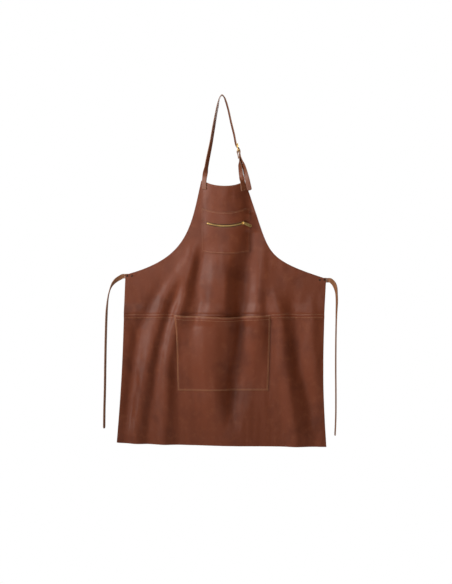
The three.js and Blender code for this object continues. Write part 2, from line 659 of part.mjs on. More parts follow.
// ---- waist ties: a riveted root behind each corner, and a free end that hangs ----
const tieOff = -(LEATHER / 2 + LAYER_GAP / 2 + TIE_THICK / 2);
const sides = {
  left: {
    corner: WAIST_LEFT,
    sign: -1,
    turns: [[0, 90], [-0.14, 4], [-0.3, 20]],
    points: [
      [-324, 11, -577.5], [-337.5, 10, -586.5], [-349.5, 9, -601], [-358.8, 8, -626], [-365, 7, -670],
      [-368.6, 6, -760], [-370.4, 6, -850], [-371.6, 7, -930], [-373.4, 7, -1000], [-374, 7, -1056],
    ],
  },
  right: {
    corner: WAIST_RIGHT,
    sign: 1,
    turns: [[0, 90], [-0.13, 20], [-0.3, 7]],
    points: [
      [344, 11, -586], [355, 10, -596.5], [361.5, 9, -613], [364.6, 8, -645], [363.2, 7, -695],
      [361.6, 6, -770], [361, 6, -860], [361.6, 7, -950], [361.2, 7, -1020], [358.8, 7, -1079],
    ],
  },
};

// Root's middle line on the front view: it starts inside the corner and leaves past the edge.
function rootLine(side) {
  const c = side.corner;
  const inner = [c.x - side.sign * (RIVET_INSET + RIVET_PITCH + 8), c.y - 3.5];
  const outer = [c.x + side.sign * 2, c.y - 5];
  return (w) => [lerp(inner[0], outer[0], w), lerp(inner[1], outer[1], w)];
}

function rivetPlaces(side) {
  const y = side.corner.y - 4;
  const first = side.corner.x - side.sign * (RIVET_INSET - 5.5);
  return [[first, y], [first - side.sign * RIVET_PITCH, y]];
}

// A rivet lies square to the leather; its axis frame has z forwards.
function rivetFrame([s, t]) {
  const out = clothNormal(s, t);
  const turn = new THREE.Quaternion().setFromUnitVectors(new THREE.Vector3(0, 0, 1), out);
  return new THREE.Matrix4().compose(cloth(s, t), turn, new THREE.Vector3(1, 1, 1));
}

const frontSeat = LEATHER / 2 + FIT_GAP;
const backSeat = tieOff - TIE_THICK / 2 - FIT_GAP;
function rivetGeometry() {
  const cap = RIVET_CAP / 2;
  const post = RIVET_POST / 2;
  const profilePoints = [
    [0, frontSeat + RIVET_CAP_HIGH], [cap * 0.5, frontSeat + RIVET_CAP_HIGH * 0.86],
    [cap * 0.87, frontSeat + RIVET_CAP_HIGH * 0.5], [cap, frontSeat], [post, frontSeat],
    [post, backSeat], [cap, backSeat], [cap * 0.9, backSeat - 0.8], [0, backSeat - 0.8],
  ].map(([r, z]) => new THREE.Vector2(r, z)).reverse();
  return new THREE.LatheGeometry(profilePoints, 16).rotateX(Math.PI / 2);
}

const rivetHole = () =>
  new THREE.CylinderGeometry(RIVET_POST / 2 + FIT_GAP, RIVET_POST / 2 + FIT_GAP, 12, 12)
    .rotateX(Math.PI / 2);

function rootGeometry(side) {
  const line = rootLine(side);
  const box = new THREE.BoxGeometry(1, 1, 1, 4, 1, 1);
  const root = bend(box, (p) => {
    const w = side.sign > 0 ? p.x + 0.5 : 0.5 - p.x;
    const [s, t] = line(w);
    return place(s, t + p.y * TIE_WIDTH, tieOff + p.z * TIE_THICK);
  });
  const holes = rivetPlaces(side).map((at) => rivetHole().applyMatrix4(rivetFrame(at)));
  return cut(root, holes);
}

// The free tie starts a small gap beyond its root and twists on edge as it drops.
function tieGeometry(side) {
  const [s, t] = rootLine(side)(1);
  const start = place(s + side.sign * FIT_GAP, t, tieOff);
  const straight = start.clone();
  straight.x += side.sign * 6;
  const curve = new THREE.CatmullRomCurve3(
    [start, straight, ...side.points.map((p) => new THREE.Vector3(...p))], false, "centripetal");
  const twist = (w) => -side.sign * profile(-w, side.turns);
  return band(curve, TIE_WIDTH, TIE_THICK, 40, twist);
}

// ---- assembly ----
const cornerHoles = Object.values(sides).flatMap((side) =>
  rivetPlaces(side).map((at) => rivetHole().applyMatrix4(rivetFrame(at))));

node("bib_panel", cut(bibSheet, cornerHoles), hide(LEATHER_BROWN));
node("skirt_panel", skirtSheet, hide(LEATHER_BROWN));
node("front_pocket", pocketSheet, hide(LEATHER_BROWN));
node("chest_band", chestBand, hide(LEATHER_BROWN));
node("chest_panel", chestPanel, hide(LEATHER_BROWN));
node("zip_tape_upper", tape(1), hide(TAPE_BROWN));
node("zip_tape_lower", tape(-1), hide(TAPE_BROWN));
node("zip_teeth_upper", comb(1), metal(BRASS, 0.35));
node("zip_teeth_lower", comb(-1), metal(BRASS, 0.35));
node("zip_slider", sliderGeometry(), metal(BRASS, 0.3), sliderFrame);
node("zip_pull", pullGeometry(), metal(BRASS, 0.3), pullFrame);
node("neck_strap", cut(strapBlank, [tongueRoom, ...strapHoles()]), hide(STRAP_BROWN));
node("buckle_strap", cut(buckleStrapBlank, [tongueRoom]), hide(STRAP_BROWN));
node("buckle_frame", buckleGeometry(), metal(BRASS, 0.25), buckleFrame);
node("buckle_tongue", tongueGeometry(0), metal(BRASS, 0.25), buckleFrame);
for (const [name, side] of Object.entries(sides)) {
  node(`tie_root_${name}`, rootGeometry(side), hide(STRAP_BROWN));
  node(`tie_${name}`, tieGeometry(side), hide(STRAP_BROWN));
  rivetPlaces(side).forEach((at, i) => {
    node(`rivet_${name}_${i ? "inner" : "outer"}`, rivetGeometry(), metal(DARK_BRASS, 0.45), rivetFrame(at));
  });
}

export default apron;
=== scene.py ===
# %% [markdown]
# # A leather welding apron, hung up by its neck strap
# The apron hangs from one point, so gravity shapes it: the bib bows forward between the two strap
# ends, and long folds run from the bib down to the hem. Every leather layer lies on that one
# surface, so the surface is written once, as a formula, and each panel, pocket and row of stitches
# is laid on it at its own height above it.

# %% Load the fixed frame
import bpy, bmesh, math
from mathutils import Matrix, Quaternion, Vector


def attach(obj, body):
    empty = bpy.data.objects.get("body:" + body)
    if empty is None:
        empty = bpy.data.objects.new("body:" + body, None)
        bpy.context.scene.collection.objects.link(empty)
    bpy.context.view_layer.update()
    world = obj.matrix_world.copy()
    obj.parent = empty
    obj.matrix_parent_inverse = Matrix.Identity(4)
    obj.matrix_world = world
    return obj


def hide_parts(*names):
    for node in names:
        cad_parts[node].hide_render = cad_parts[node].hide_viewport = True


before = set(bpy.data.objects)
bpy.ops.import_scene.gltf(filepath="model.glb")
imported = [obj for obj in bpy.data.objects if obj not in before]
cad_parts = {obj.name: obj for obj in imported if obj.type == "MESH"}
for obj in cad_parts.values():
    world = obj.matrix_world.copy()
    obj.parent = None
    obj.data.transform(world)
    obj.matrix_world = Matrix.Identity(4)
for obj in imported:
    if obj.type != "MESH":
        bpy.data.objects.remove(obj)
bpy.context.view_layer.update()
MM = 0.001

# %% [markdown]
# ## Camera and light
# The apron is seen straight from the front with a long lens, so its sides stay parallel. A soft
# light stands to the left: each fold is bright on its left flank and dark on its right one, which
# is what makes the leather read as hanging. An upright strip in front adds the shine that runs down
# a rounded fold. Both shine in a narrow cone aimed at the bib, so the hem falls into shade. A weak
# wide light keeps the dark flanks brown, and one behind reaches the flesh side. The background is
# plain white to the camera and dim to the leather.

# %% Camera
SCENE = bpy.context.scene
SCENE.view_settings.view_transform = "Standard"
LENS, FILM = 85.0, 36.0  # millimetres
FRAME_HIGH = 1.851  # what the frame shows at the apron, in metres
FRAME_X, FRAME_Z = 0.0127, -0.623
camera = bpy.data.objects.new("camera", bpy.data.cameras.new("camera"))
camera.data.lens, camera.data.sensor_width = LENS, FILM
camera.location = (FRAME_X, -FRAME_HIGH * LENS / FILM, FRAME_Z)
camera.rotation_euler = (math.pi / 2, 0, 0)
SCENE.collection.objects.link(camera)
SCENE.camera = camera
print("camera stands", round(-camera.location.y, 2), "m in front")

# %% Lights
def soft_box(name, place, aim, wide, tall, watts, tint=(1, 1, 1), spread=180):
    """A rectangular light at a place, turned towards a point; spread is its cone in degrees."""
    light = bpy.data.lights.new(name, "AREA")
    light.shape, light.size, light.size_y = "RECTANGLE", wide, tall
    light.energy, light.color, light.spread = watts, tint, math.radians(spread)
    holder = bpy.data.objects.new(name, light)
    holder.location = place
    holder.rotation_euler = (Vector(aim) - Vector(place)).to_track_quat("-Z", "Y").to_euler()
    SCENE.collection.objects.link(holder)

WARM, MILD = (1, 0.97, 0.94), (1, 0.98, 0.96)
soft_box("key_left", (-2.1, -1.25, 0.15), (0.05, 0, -0.44), 0.8, 1.2, 5.2, WARM, spread=50)
soft_box("front_strip", (-0.35, -3.3, 0.35), (0, 0, -0.28), 0.3, 1.5, 1.7, MILD, spread=34)
soft_box("fill_front", (0.9, -3.6, 0.9), (0, 0, -0.45), 1.4, 1.4, 7, MILD)
soft_box("back_light", (1.2, 2.8, 0.2), (0, 0, -0.6), 1.6, 1.6, 30)

# %% White surroundings and a pale floor
world = bpy.data.worlds.new("studio")
SCENE.world = world
world.use_nodes = True
tree = world.node_tree
tree.nodes.clear()
TO_CAMERA, TO_LEATHER = 1.0, 0.12  # how bright the surroundings are
pick = tree.nodes.new("ShaderNodeMixShader")
for place_in_mix, strength in ((1, TO_LEATHER), (2, TO_CAMERA)):
    sky = tree.nodes.new("ShaderNodeBackground")
    sky.inputs["Color"].default_value = (1, 1, 1, 1)
    sky.inputs["Strength"].default_value = strength
    tree.links.new(sky.outputs[0], pick.inputs[place_in_mix])
ray = tree.nodes.new("ShaderNodeLightPath")
out = tree.nodes.new("ShaderNodeOutputWorld")
tree.links.new(ray.outputs["Is Camera Ray"], pick.inputs["Fac"])
tree.links.new(pick.outputs[0], out.inputs["Surface"])

FLOOR_Y, FLOOR_Z, FLOOR_HALF = -1.3, -1.95, (4.0, 2.9, 1)
bm = bmesh.new()
bmesh.ops.create_grid(bm, x_segments=1, y_segments=1, size=1)
bmesh.ops.scale(bm, vec=FLOOR_HALF, verts=bm.verts)
bmesh.ops.translate(bm, vec=(0, FLOOR_Y, FLOOR_Z), verts=bm.verts)
floor_mesh = bpy.data.meshes.new("floor")
bm.to_mesh(floor_mesh)
bm.free()
floor = bpy.data.objects.new("floor", floor_mesh)
SCENE.collection.objects.link(floor)
floor_paint = bpy.data.materials.new("floor_paint")
floor_paint.use_nodes = True
for label, value in (("Base Color", (0.82, 0.81, 0.8, 1)), ("Roughness", 0.7),
                     ("Emission Color", (0.9, 0.89, 0.88, 1)), ("Emission Strength", 0.55)):
    floor_paint.node_tree.nodes["Principled BSDF"].inputs[label].default_value = value
floor_mesh.materials.append(floor_paint)
print("floor at", FLOOR_Z)

# %% [markdown]
# ## The hanging surface
# A place on the front view is (s, t): s to the right and t up, in millimetres from the hanging
# point. `cloth` turns it into a point of the hanging leather. Three things are added up: the bow of
# the bib, an exact arc so that a zip slider can ride along it; a little sag, because a bowed sheet
# dips in the middle; and the folds, each a smooth ridge or valley along a given line.

# %% The bow and the folds
BACK_Y = 10
ZIP_T = -404
BOW_MID, BOW_HALF, BOW_DEPTH, BOW_SAG, BOW_EXACT = 9, 57.5, 12, 10, 63
BOW_RISE = math.hypot(BOW_DEPTH, BOW_SAG)
BOW_RADIUS = (BOW_HALF ** 2 + BOW_RISE ** 2) / (2 * BOW_RISE)

def smooth(a, b, x):
    """0 below a, 1 above b, and an even S between them."""
    w = min(max((x - a) / (b - a), 0), 1)
    return w * w * (3 - 2 * w)

def lerp(a, b, w):
    return a + (b - a) * w

def profile(t, stops):
    """A quantity given at a few heights, top first, at the height t."""
    for (t0, v0), (t1, v1) in zip(stops, stops[1:]):
        if t >= t1:
            return lerp(v0, v1, smooth(0, 1, min(max((t0 - t) / (t0 - t1), 0), 1)))
    return stops[-1][1]

def bow(d, rest):
    """The bow across the bib: 1 in the middle, 0 at the arc's ends, easing to -rest on the flanks."""
    far = abs(d)
    arc = lambda x: (math.sqrt(BOW_RADIUS ** 2 - x ** 2) - BOW_RADIUS + BOW_RISE) / BOW_RISE
    if far <= BOW_EXACT:
        return arc(far)
    edge = arc(BOW_EXACT)
    slope = BOW_EXACT / math.sqrt(BOW_RADIUS ** 2 - BOW_EXACT ** 2) / BOW_RISE
    left = rest + edge
    return edge - left * (1 - math.exp(-(far - BOW_EXACT) * slope / left))

FOLDS = [  # height, half width, line
    (8, 24, [(-70, -440), (-124, -560), (-187, -655), (-241, -870), (-272, -1075)]),
    (9, 24, [(-84, -500), (-112, -600), (-140, -715), (-174, -850), (-184, -1075)]),
    (10, 46, [(6, -470), (4, -620), (-30, -760), (-32, -880), (-20, -1000)]),
    (-11, 30, [(78, -470), (62, -600), (58, -743), (48, -870), (34, -1000)]),
    (6, 24, [(120, -470), (124, -560), (112, -700), (118, -800)]),
    (9, 30, [(168, -590), (188, -720), (200, -860), (216, -965), (236, -1075)]),
    (-6, 24, [(222, -640), (238, -760), (254, -880), (282, -1000)]),
    (5, 24, [(286, -640), (288, -760), (296, -880)]),
    (-7, 22, [(-262, -700), (-282, -860), (-300, -1000)]),
    (6, 50, [(66, -930), (72, -1050)]),
]
FOLD_EASE = 90  # how far above its top a fold has died away
HEM_FOLD = -1040  # a fold that ends below this height runs out at the hem
BOW_DEPTHS = [(-273, 14), (ZIP_T + 25, BOW_DEPTH), (ZIP_T - 25, BOW_DEPTH), (-560, 9), (-760, 5)]
BOW_SAGS = [(-300, BOW_SAG), (ZIP_T - 25, BOW_SAG), (-520, 4), (-620, 0)]

def fold_at(line, t):
    """Where a fold's line stands at the height t, and how much of it is left there."""
    (s_top, t_top), (s_end, t_end) = line[0], line[-1]
    s = s_top if t > t_top else s_end
    for (s0, t0), (s1, t1) in zip(line, line[1:]):
        if t1 <= t <= t0:
            s = lerp(s0, s1, (t0 - t) / (t0 - t1))
    begun = 1 - smooth(t_top - FOLD_EASE, t_top + FOLD_EASE / 3, t)
    left = 1 if t_end < HEM_FOLD else smooth(t_end - FOLD_EASE, t_end + FOLD_EASE / 3, t)
    return s, begun * left

def fold_depth(s, t, folds=FOLDS):
    """The folds' height at a place, each a bell across its line."""
    total = 0
    for height, wide, line in folds:
        middle, share = fold_at(line, t)
        if share:
            total += height * share * math.exp(-((s - middle) / wide) ** 2)
    return total

def cloth(s, t):
    """The point of the hanging leather's middle surface, in millimetres."""
    forward = profile(t, BOW_DEPTHS) * (1 + bow(s - BOW_MID, 1)) + fold_depth(s, t)
    return Vector((s, BACK_Y - forward, t - profile(t, BOW_SAGS) * bow(s - BOW_MID, 0.3)))

def cloth_normal(s, t):
    across = cloth(s + 0.5, t) - cloth(s - 0.5, t)
    up = cloth(s, t + 0.5) - cloth(s, t - 0.5)
    return across.cross(up).normalized()

def place(s, t, off):
    """A point at a distance in front of the leather's middle surface, in metres."""
    return (cloth(s, t) + cloth_normal(s, t) * off) * MM

print("bow radius", round(BOW_RADIUS, 1), "mm; point in the bib:", [round(x, 4) for x in place(9, -330, 0)])

# %% [markdown]
# ## Pieces cut from leather
# A panel, a strap and a pocket are all one thing: a thin sheet with softly rounded cut edges. So
# one helper makes them all. It starts from a flat grid, moves each corner of the grid to its place
# in space, and lets Solidify give the leather its thickness and Bevel round the cut edge.

# %% Helpers for pieces
def add_piece(name, bm, body, material, smooth_faces=True):
    """Makes an object from a bmesh, riding on a body of the frame."""
    for face in bm.faces:
        face.smooth = smooth_faces
    mesh = bpy.data.meshes.new(name)
    bm.to_mesh(mesh)
    bm.free()
    piece = bpy.data.objects.new(name, mesh)
    SCENE.collection.objects.link(piece)
    mesh.materials.append(material)
    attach(piece, body)
    return piece

def round_edges(piece, rim, segments, angle=60):
    """Rounds the edges that turn by more than an angle in degrees, rim in millimetres."""
    edge = piece.modifiers.new("edge", "BEVEL")
    edge.width, edge.segments, edge.limit_method = rim * MM, segments, "ANGLE"
    edge.angle_limit = math.radians(angle)
    return edge

def thicken(piece, thick, rim, segments):
    """Gives a sheet its thickness, half to each side, and rounds its cut edge."""
    skin = piece.modifiers.new("thickness", "SOLIDIFY")
    skin.thickness, skin.offset, skin.use_even_offset = thick * MM, 0, True
    round_edges(piece, rim, segments)

def leather_sheet(name, material, columns, rows, thick, where, rim=0.4, edge_wear_and_highlight=0.0):
    """A sheet of leather: where(u, v) is its middle surface in metres, u and v from 0 to 1.
    Its outline carries how much tan is painted on it, partly wear, partly a painted highlight."""
    bm = bmesh.new()
    bmesh.ops.create_grid(bm, x_segments=columns, y_segments=rows, size=0.5)
    wear_and_highlight = bm.verts.layers.float.new("pale_edge_wear_and_highlight")
    # The outline's tan stands partly for wear, partly for a painted highlight on the lit cut edge.
    for vert in bm.verts:
        vert[wear_and_highlight] = edge_wear_and_highlight if vert.is_boundary else 0.0
        vert.co = where(vert.co.x + 0.5, vert.co.y + 0.5)
    piece = add_piece(name, bm, "apron", material)
    thicken(piece, thick, rim, 2)
    return piece

def bezier(points, w):
    p = [Vector(q) for q in points]
    return (p[0] * (1 - w) ** 3 + p[1] * 3 * w * (1 - w) ** 2 + p[2] * 3 * w * w * (1 - w) + p[3] * w ** 3)

def spline(points, per_span=24):
    """A centripetal Catmull-Rom curve through the points, as a dense list of points."""
    p = [Vector(q) for q in points]
    p = [2 * p[0] - p[1]] + p + [2 * p[-1] - p[-2]]
    dense = []
    for a, b, c, d in zip(p, p[1:], p[2:], p[3:]):
        k = [0]
        for q, r in ((a, b), (b, c), (c, d)):
            k.append(k[-1] + max((r - q).length, 1e-9) ** 0.5)
        for i in range(per_span):
            x = lerp(k[1], k[2], i / per_span)
            mix = lambda q, r, i0, i1: (q * (k[i1] - x) + r * (x - k[i0])) / (k[i1] - k[i0])
            ab, bc, cd = mix(a, b, 0, 1), mix(b, c, 1, 2), mix(c, d, 2, 3)
            abc = (ab * (k[2] - x) + bc * (x - k[0])) / (k[2] - k[0])
            bcd = (bc * (k[3] - x) + cd * (x - k[1])) / (k[3] - k[1])
            dense.append((abc * (k[2] - x) + bcd * (x - k[1])) / (k[2] - k[1]))
    dense.append(p[-2])
    return dense

class Route:
    """A curve measured along its length, for straps and rows of stitches."""
    def __init__(self, points, per_span=24):
        self.points = spline(points, per_span)
        self.marks = [0]
        for a, b in zip(self.points, self.points[1:]):
            self.marks.append(self.marks[-1] + (b - a).length)
        self.length = self.marks[-1]

    def at(self, w):
        x = min(max(w, 0), 1) * self.length
        low, high = 0, len(self.marks) - 1
        while high - low > 1:
            middle = (low + high) // 2
            low, high = (middle, high) if self.marks[middle] <= x else (low, middle)
        span = self.marks[high] - self.marks[low] or 1
        return self.points[low].lerp(self.points[high], (x - self.marks[low]) / span)

    def along(self, w):
        return (self.at(w + 0.004) - self.at(w - 0.004)).normalized()

def strap_frame(route, twist, w):
    """Middle, across and outward directions of a strap at w along its route."""
    along = route.along(w)
    across = Vector((0, 1, 0))
    across = (across - along * across.dot(along)).normalized()
    across = Quaternion(along, math.radians(twist(w))) @ across
    return route.at(w), across, across.cross(along)

print("helpers ready")

# %% [markdown]
# ## Finishes
# Each effect that several finishes share is a node group: the pebbled grain of the hide, its slow
# changes of tone, the rubbed look of edges, and the scuffs on metal. A group hands out only colours
# and values. The shader stays in the finish itself, where its fixed numbers are set on its sockets.

# %% A helper for node groups and finishes
class Nodes:
    """Short words for adding and joining nodes in one tree."""
    def __init__(self, tree):
        self.tree = tree

    def add(self, kind, *settings, **values):
        node = self.tree.nodes.new("ShaderNode" + kind)
        for name, value in settings:
            setattr(node, name, value)
        for name, value in values.items():
            self.feed(node.inputs[name.replace("_", " ")], value)
        return node

    def feed(self, socket, value):
        if isinstance(value, bpy.types.NodeSocket):
            self.tree.links.new(value, socket)
        else:
            socket.default_value = value

    def math(self, operation, a, b=0.0, clamp=False):
        node = self.tree.nodes.new("ShaderNodeMath")
        node.operation, node.use_clamp = operation, clamp
        self.feed(node.inputs[0], a)
        self.feed(node.inputs[1], b)
        return node.outputs[0]

    def mix(self, factor, a, b, kind="MIX"):
        node = self.tree.nodes.new("ShaderNodeMix")
        node.data_type, node.blend_type = "RGBA", kind
        self.feed(node.inputs["Factor"], factor)
        self.feed(node.inputs["A"], a)
        self.feed(node.inputs["B"], b)
        return node.outputs["Result"]

    def spread(self, value, low, high, to_low=0.0, to_high=1.0):
        node = self.add("MapRange", ("interpolation_type", "SMOOTHSTEP"))
        for name, number in (("Value", value), ("From Min", low), ("From Max", high),
                             ("To Min", to_low), ("To Max", to_high)):
            self.feed(node.inputs[name], number)
        return node.outputs["Result"]

    def noise(self, place, scale, detail, roughness=0.5, output="Fac"):
        node = self.add("TexNoise", Vector=place, Scale=scale, Detail=detail, Roughness=roughness)
        return node.outputs[output]

def new_group(name, inputs, outputs):
    """An empty shader group: inputs are (name, kind, default), outputs are (name, kind).
    Gives back its nodes, the sockets values come from and the sockets results go to."""
    group = bpy.data.node_groups.new(name, "ShaderNodeTree")
    for label, kind, default in inputs:
        socket = group.interface.new_socket(label, in_out="INPUT", socket_type="NodeSocket" + kind)
        socket.default_value = default
    for label, kind in outputs:
        group.interface.new_socket(label, in_out="OUTPUT", socket_type="NodeSocket" + kind)
    print("group", name)
    return (Nodes(group), group.nodes.new("NodeGroupInput").outputs,
            group.nodes.new("NodeGroupOutput").inputs)

def rgba(r, g, b):
    return (r, g, b, 1.0)

# %% Group: the grain of the hide
n, given, result = new_group(
    "hide_grain",
    [("Place", "Vector", (0, 0, 0)), ("Pebble", "Float", 1100.0), ("Crease", "Float", 0.5)],
    [("Height", "Float"), ("Valley", "Float")])
shift = n.add("VectorMath", ("operation", "MULTIPLY_ADD"))
n.feed(shift.inputs[0], n.noise(given["Place"], 260.0, 2.0, output="Color"))
n.feed(shift.inputs[1], (0.0012, 0.0012, 0.0012))
n.feed(shift.inputs[2], given["Place"])
cells = n.add("TexVoronoi", ("feature", "DISTANCE_TO_EDGE"), Vector=shift.outputs[0],
              Scale=given["Pebble"])
pebble = n.spread(cells.outputs["Distance"], 0.0, 0.32)
fine = n.noise(given["Place"], 2600.0, 3.0)
crease = n.noise(shift.outputs[0], 95.0, 4.0, 0.62)
ridge = n.math("ABSOLUTE", n.math("SUBTRACT", crease, 0.5))
line = n.math("MULTIPLY", n.spread(ridge, 0.0, 0.03, 1.0, 0.0), given["Crease"])
height = n.math("ADD", n.math("MULTIPLY", pebble, 0.7), n.math("MULTIPLY", fine, 0.3))
n.feed(result["Height"], n.math("SUBTRACT", height, line))
n.feed(result["Valley"], n.math("SUBTRACT", 1.0, pebble, clamp=True))

# %% Group: slow changes of tone over the hide
n, given, result = new_group(
    "hide_tone",
    [("Place", "Vector", (0, 0, 0)), ("Deep", "Color", rgba(0.08, 0.03, 0.02)),
     ("Body", "Color", rgba(0.2, 0.07, 0.04)), ("Pale", "Color", rgba(0.3, 0.13, 0.08)),
     ("Cloud", "Float", 11.0)],
    [("Color", "Color"), ("Worn", "Float")])
cloud = n.noise(given["Place"], given["Cloud"], 4.0, 0.55)
patch = n.noise(given["Place"], 46.0, 5.0, 0.6)
fleck = n.noise(given["Place"], 420.0, 3.0, 0.7)
tone = n.mix(n.spread(cloud, 0.3, 0.55), given["Deep"], given["Body"])
tone = n.mix(n.spread(patch, 0.5, 0.75, 0.0, 0.4), tone, given["Pale"])
tone = n.mix(n.spread(fleck, 0.58, 0.8, 0.0, 0.28), tone, given["Pale"])
tone = n.mix(n.spread(fleck, 0.42, 0.22, 0.0, 0.35), tone, given["Deep"])
n.feed(result["Color"], tone)
n.feed(result["Worn"], n.spread(cloud, 0.42, 0.66))

# %% Group: rubbed edges
n, given, result = new_group(
    "rubbed_edge",
    [("Place", "Vector", (0, 0, 0)), ("Begin", "Float", 0.52), ("Full", "Float", 0.62)],
    [("Mask", "Float")])
shape = n.add("NewGeometry")
rub = n.spread(shape.outputs["Pointiness"], given["Begin"], given["Full"])
patch = n.spread(n.noise(given["Place"], 180.0, 3.0), 0.3, 0.6, 0.35, 1.0)
n.feed(result["Mask"], n.math("MULTIPLY", rub, patch))

# %% Group: scuffs and fine scratches on metal
n, given, result = new_group(
    "metal_scuff",
    [("Place", "Vector", (0, 0, 0)), ("Scratch", "Float", 1.0)],
    [("Dull", "Float"), ("Height", "Float")])
turn = n.add("Mapping", Vector=given["Place"], Rotation=(0.4, 0.9, 0.3), Scale=(2600, 320, 900))
mark = n.spread(n.noise(turn.outputs[0], 1.0, 2.0, 0.7), 0.58, 0.72)
mark = n.math("MULTIPLY", mark, given["Scratch"])
cloud = n.spread(n.noise(given["Place"], 240.0, 4.0), 0.35, 0.7, 0.0, 0.5)
n.feed(result["Dull"], n.math("ADD", n.math("MULTIPLY", mark, 0.5), cloud, clamp=True))
n.feed(result["Height"], n.math("SUBTRACT", 0.0, mark))

# %% [markdown]
# ### The leather
# Waxed, vegetable tanned hide shows a fine pebble, a softer lustre than varnish and a tone that
# wanders from reddish brown to tan. The flesh side is the rough inside of the skin, with no shine
# and a nap; the cut edge is paler and fibrous. Each is a finish of its own, because on the real
# apron they look like different materials on one sheet. The ties are of a lighter hide. Along its
# outline the sheet carries an attribute, and the finish turns tan there: partly rubbed wear, partly
# a painted highlight where the cut edge catches the light.

# %% Leather finishes
def finish_nodes(name):
    """A new finish: itself, its nodes, its shader and the place its patterns read."""
    paint = bpy.data.materials.new(name)
    paint.use_nodes = True
    n = Nodes(paint.node_tree)
    return paint, n, paint.node_tree.nodes["Principled BSDF"], n.add("TexCoord").outputs["Object"]

def use_group(n, name, **values):
    node = n.add("Group")
    node.node_tree = bpy.data.node_groups[name]
    for label, value in values.items():
        n.feed(node.inputs[label], value)
    return node.outputs

def wire(n, shader, color, rough, height, strength, distance):
    """Feeds a shader its colour, its roughness and its dents, their depth in metres."""
    n.feed(shader.inputs["Base Color"], color)
    n.feed(shader.inputs["Roughness"], rough)
    dent = n.add("Bump", Height=height, Strength=strength, Distance=distance)
    n.feed(shader.inputs["Normal"], dent.outputs[0])

# Tan painted on a sheet's outline: partly rubbed wear, partly a painted highlight where the cut edge catches
# light.
EDGE_TAN = rgba(0.42, 0.19, 0.085)

def hide_finish(name, deep, body, pale, rough, pebble=1100.0, bump=0.00016):
    paint, n, shader, where = finish_nodes(name)
    grain = use_group(n, "hide_grain", Place=where, Pebble=pebble)
    tone = use_group(n, "hide_tone", Place=where, Deep=deep, Body=body, Pale=pale)
    rub = use_group(n, "rubbed_edge", Place=where)
    edge_wear_and_highlight = n.add("Attribute", ("attribute_name", "pale_edge_wear_and_highlight"))
    shade = n.mix(n.math("MULTIPLY", grain["Valley"], 0.35), tone["Color"], deep)
    shade = n.mix(n.math("MULTIPLY", rub["Mask"], 0.3), shade, pale)
    # The outline turns tan: partly wear, partly a painted highlight along the lit cut edge.
    shade = n.mix(n.math("MULTIPLY", edge_wear_and_highlight.outputs["Fac"], 0.6), shade, EDGE_TAN)
    dull = n.math("ADD", n.math("MULTIPLY", grain["Valley"], 0.14),
                  n.math("MULTIPLY", tone["Worn"], -0.08))
    wire(n, shader, shade, n.math("ADD", dull, rough, clamp=True), grain["Height"], 0.55, bump)
    for label, value in (("Coat Weight", 0.08), ("Coat Roughness", 0.34), ("Specular IOR Level", 0.24)):
        shader.inputs[label].default_value = value
    return paint

leather = hide_finish("apron_leather_grain", rgba(0.118, 0.024, 0.0065), rgba(0.17, 0.0375, 0.0115),
                      rgba(0.25, 0.072, 0.028), 0.42)
strap_hide = hide_finish("strap_leather_grain", rgba(0.12, 0.029, 0.009), rgba(0.18, 0.05, 0.018),
                         rgba(0.27, 0.095, 0.04), 0.42, pebble=1400.0, bump=0.0001)
tie_hide = hide_finish("tie_leather_grain", rgba(0.16, 0.058, 0.022), rgba(0.255, 0.103, 0.042),
                       rgba(0.4, 0.19, 0.09), 0.46, pebble=1400.0, bump=0.0001)

def raw_finish(name, deep, pale, nap):
    """Leather without its grain: the flesh side, or a cut edge."""
    paint, n, shader, where = finish_nodes(name)
    fluff = n.noise(where, nap, 5.0, 0.75)
    cloud = n.noise(where, 22.0, 3.0)
    shade = n.mix(n.spread(fluff, 0.32, 0.68), deep, pale)
    shade = n.mix(n.spread(cloud, 0.35, 0.7, 0.0, 0.4), shade, deep)
    wire(n, shader, shade, n.spread(fluff, 0.2, 0.8, 0.95, 0.78), fluff, 0.6, 0.0003)
    shader.inputs["Sheen Weight"].default_value = 0.15
    shader.inputs["Sheen Roughness"].default_value = 0.6
    return paint

flesh_side = raw_finish("leather_flesh_side", rgba(0.16, 0.075, 0.045), rgba(0.31, 0.165, 0.1), 900.0)
cut_edge = raw_finish("leather_cut_edge", rgba(0.2, 0.085, 0.045), rgba(0.46, 0.25, 0.15), 2200.0)
print("leather finishes:", leather.name, strap_hide.name, flesh_side.name, cut_edge.name)

# %% Brass, rivet brass painted dark as its dark reflection, thread and woven tape
def metal_finish(name, bright, dark, rough):
    paint, n, shader, where = finish_nodes(name)
    scuff = use_group(n, "metal_scuff", Place=where)
    rub = use_group(n, "rubbed_edge", Place=where, Begin=0.5, Full=0.6)
    shade = n.mix(scuff["Dull"], bright, dark)
    shade = n.mix(n.math("MULTIPLY", rub["Mask"], 0.6), shade, bright)
    dull = n.math("ADD", n.math("MULTIPLY", scuff["Dull"], 0.22), rough, clamp=True)
    wire(n, shader, shade, dull, scuff["Height"], 0.35, 0.00005)
    shader.inputs["Metallic"].default_value = 1.0
    return paint

brass = metal_finish("aged_brass", rgba(0.78, 0.53, 0.2), rgba(0.42, 0.24, 0.075), 0.34)
# The rivets are aged brass whose colour is painted dark: a painted reflection of dark surroundings.
rivet_brass_painted_dark = metal_finish("rivet_brass_painted_dark_reflection", rgba(0.07, 0.045, 0.03), rgba(0.03, 0.02, 0.014), 0.5)

def thread_finish(name, deep, pale):
    paint, n, shader, where = finish_nodes(name)
    twist = n.noise(where, 3200.0, 2.0)
    shade = n.mix(n.spread(twist, 0.35, 0.65), deep, pale)
    wire(n, shader, shade, n.spread(twist, 0.3, 0.7, 0.5, 0.7), twist, 0.5, 0.0002)
    return paint

thread = thread_finish("waxed_thread", rgba(0.3, 0.13, 0.06), rgba(0.55, 0.29, 0.15))
dark_thread = thread_finish("waxed_thread_dark", rgba(0.12, 0.035, 0.015), rgba(0.22, 0.075, 0.032))

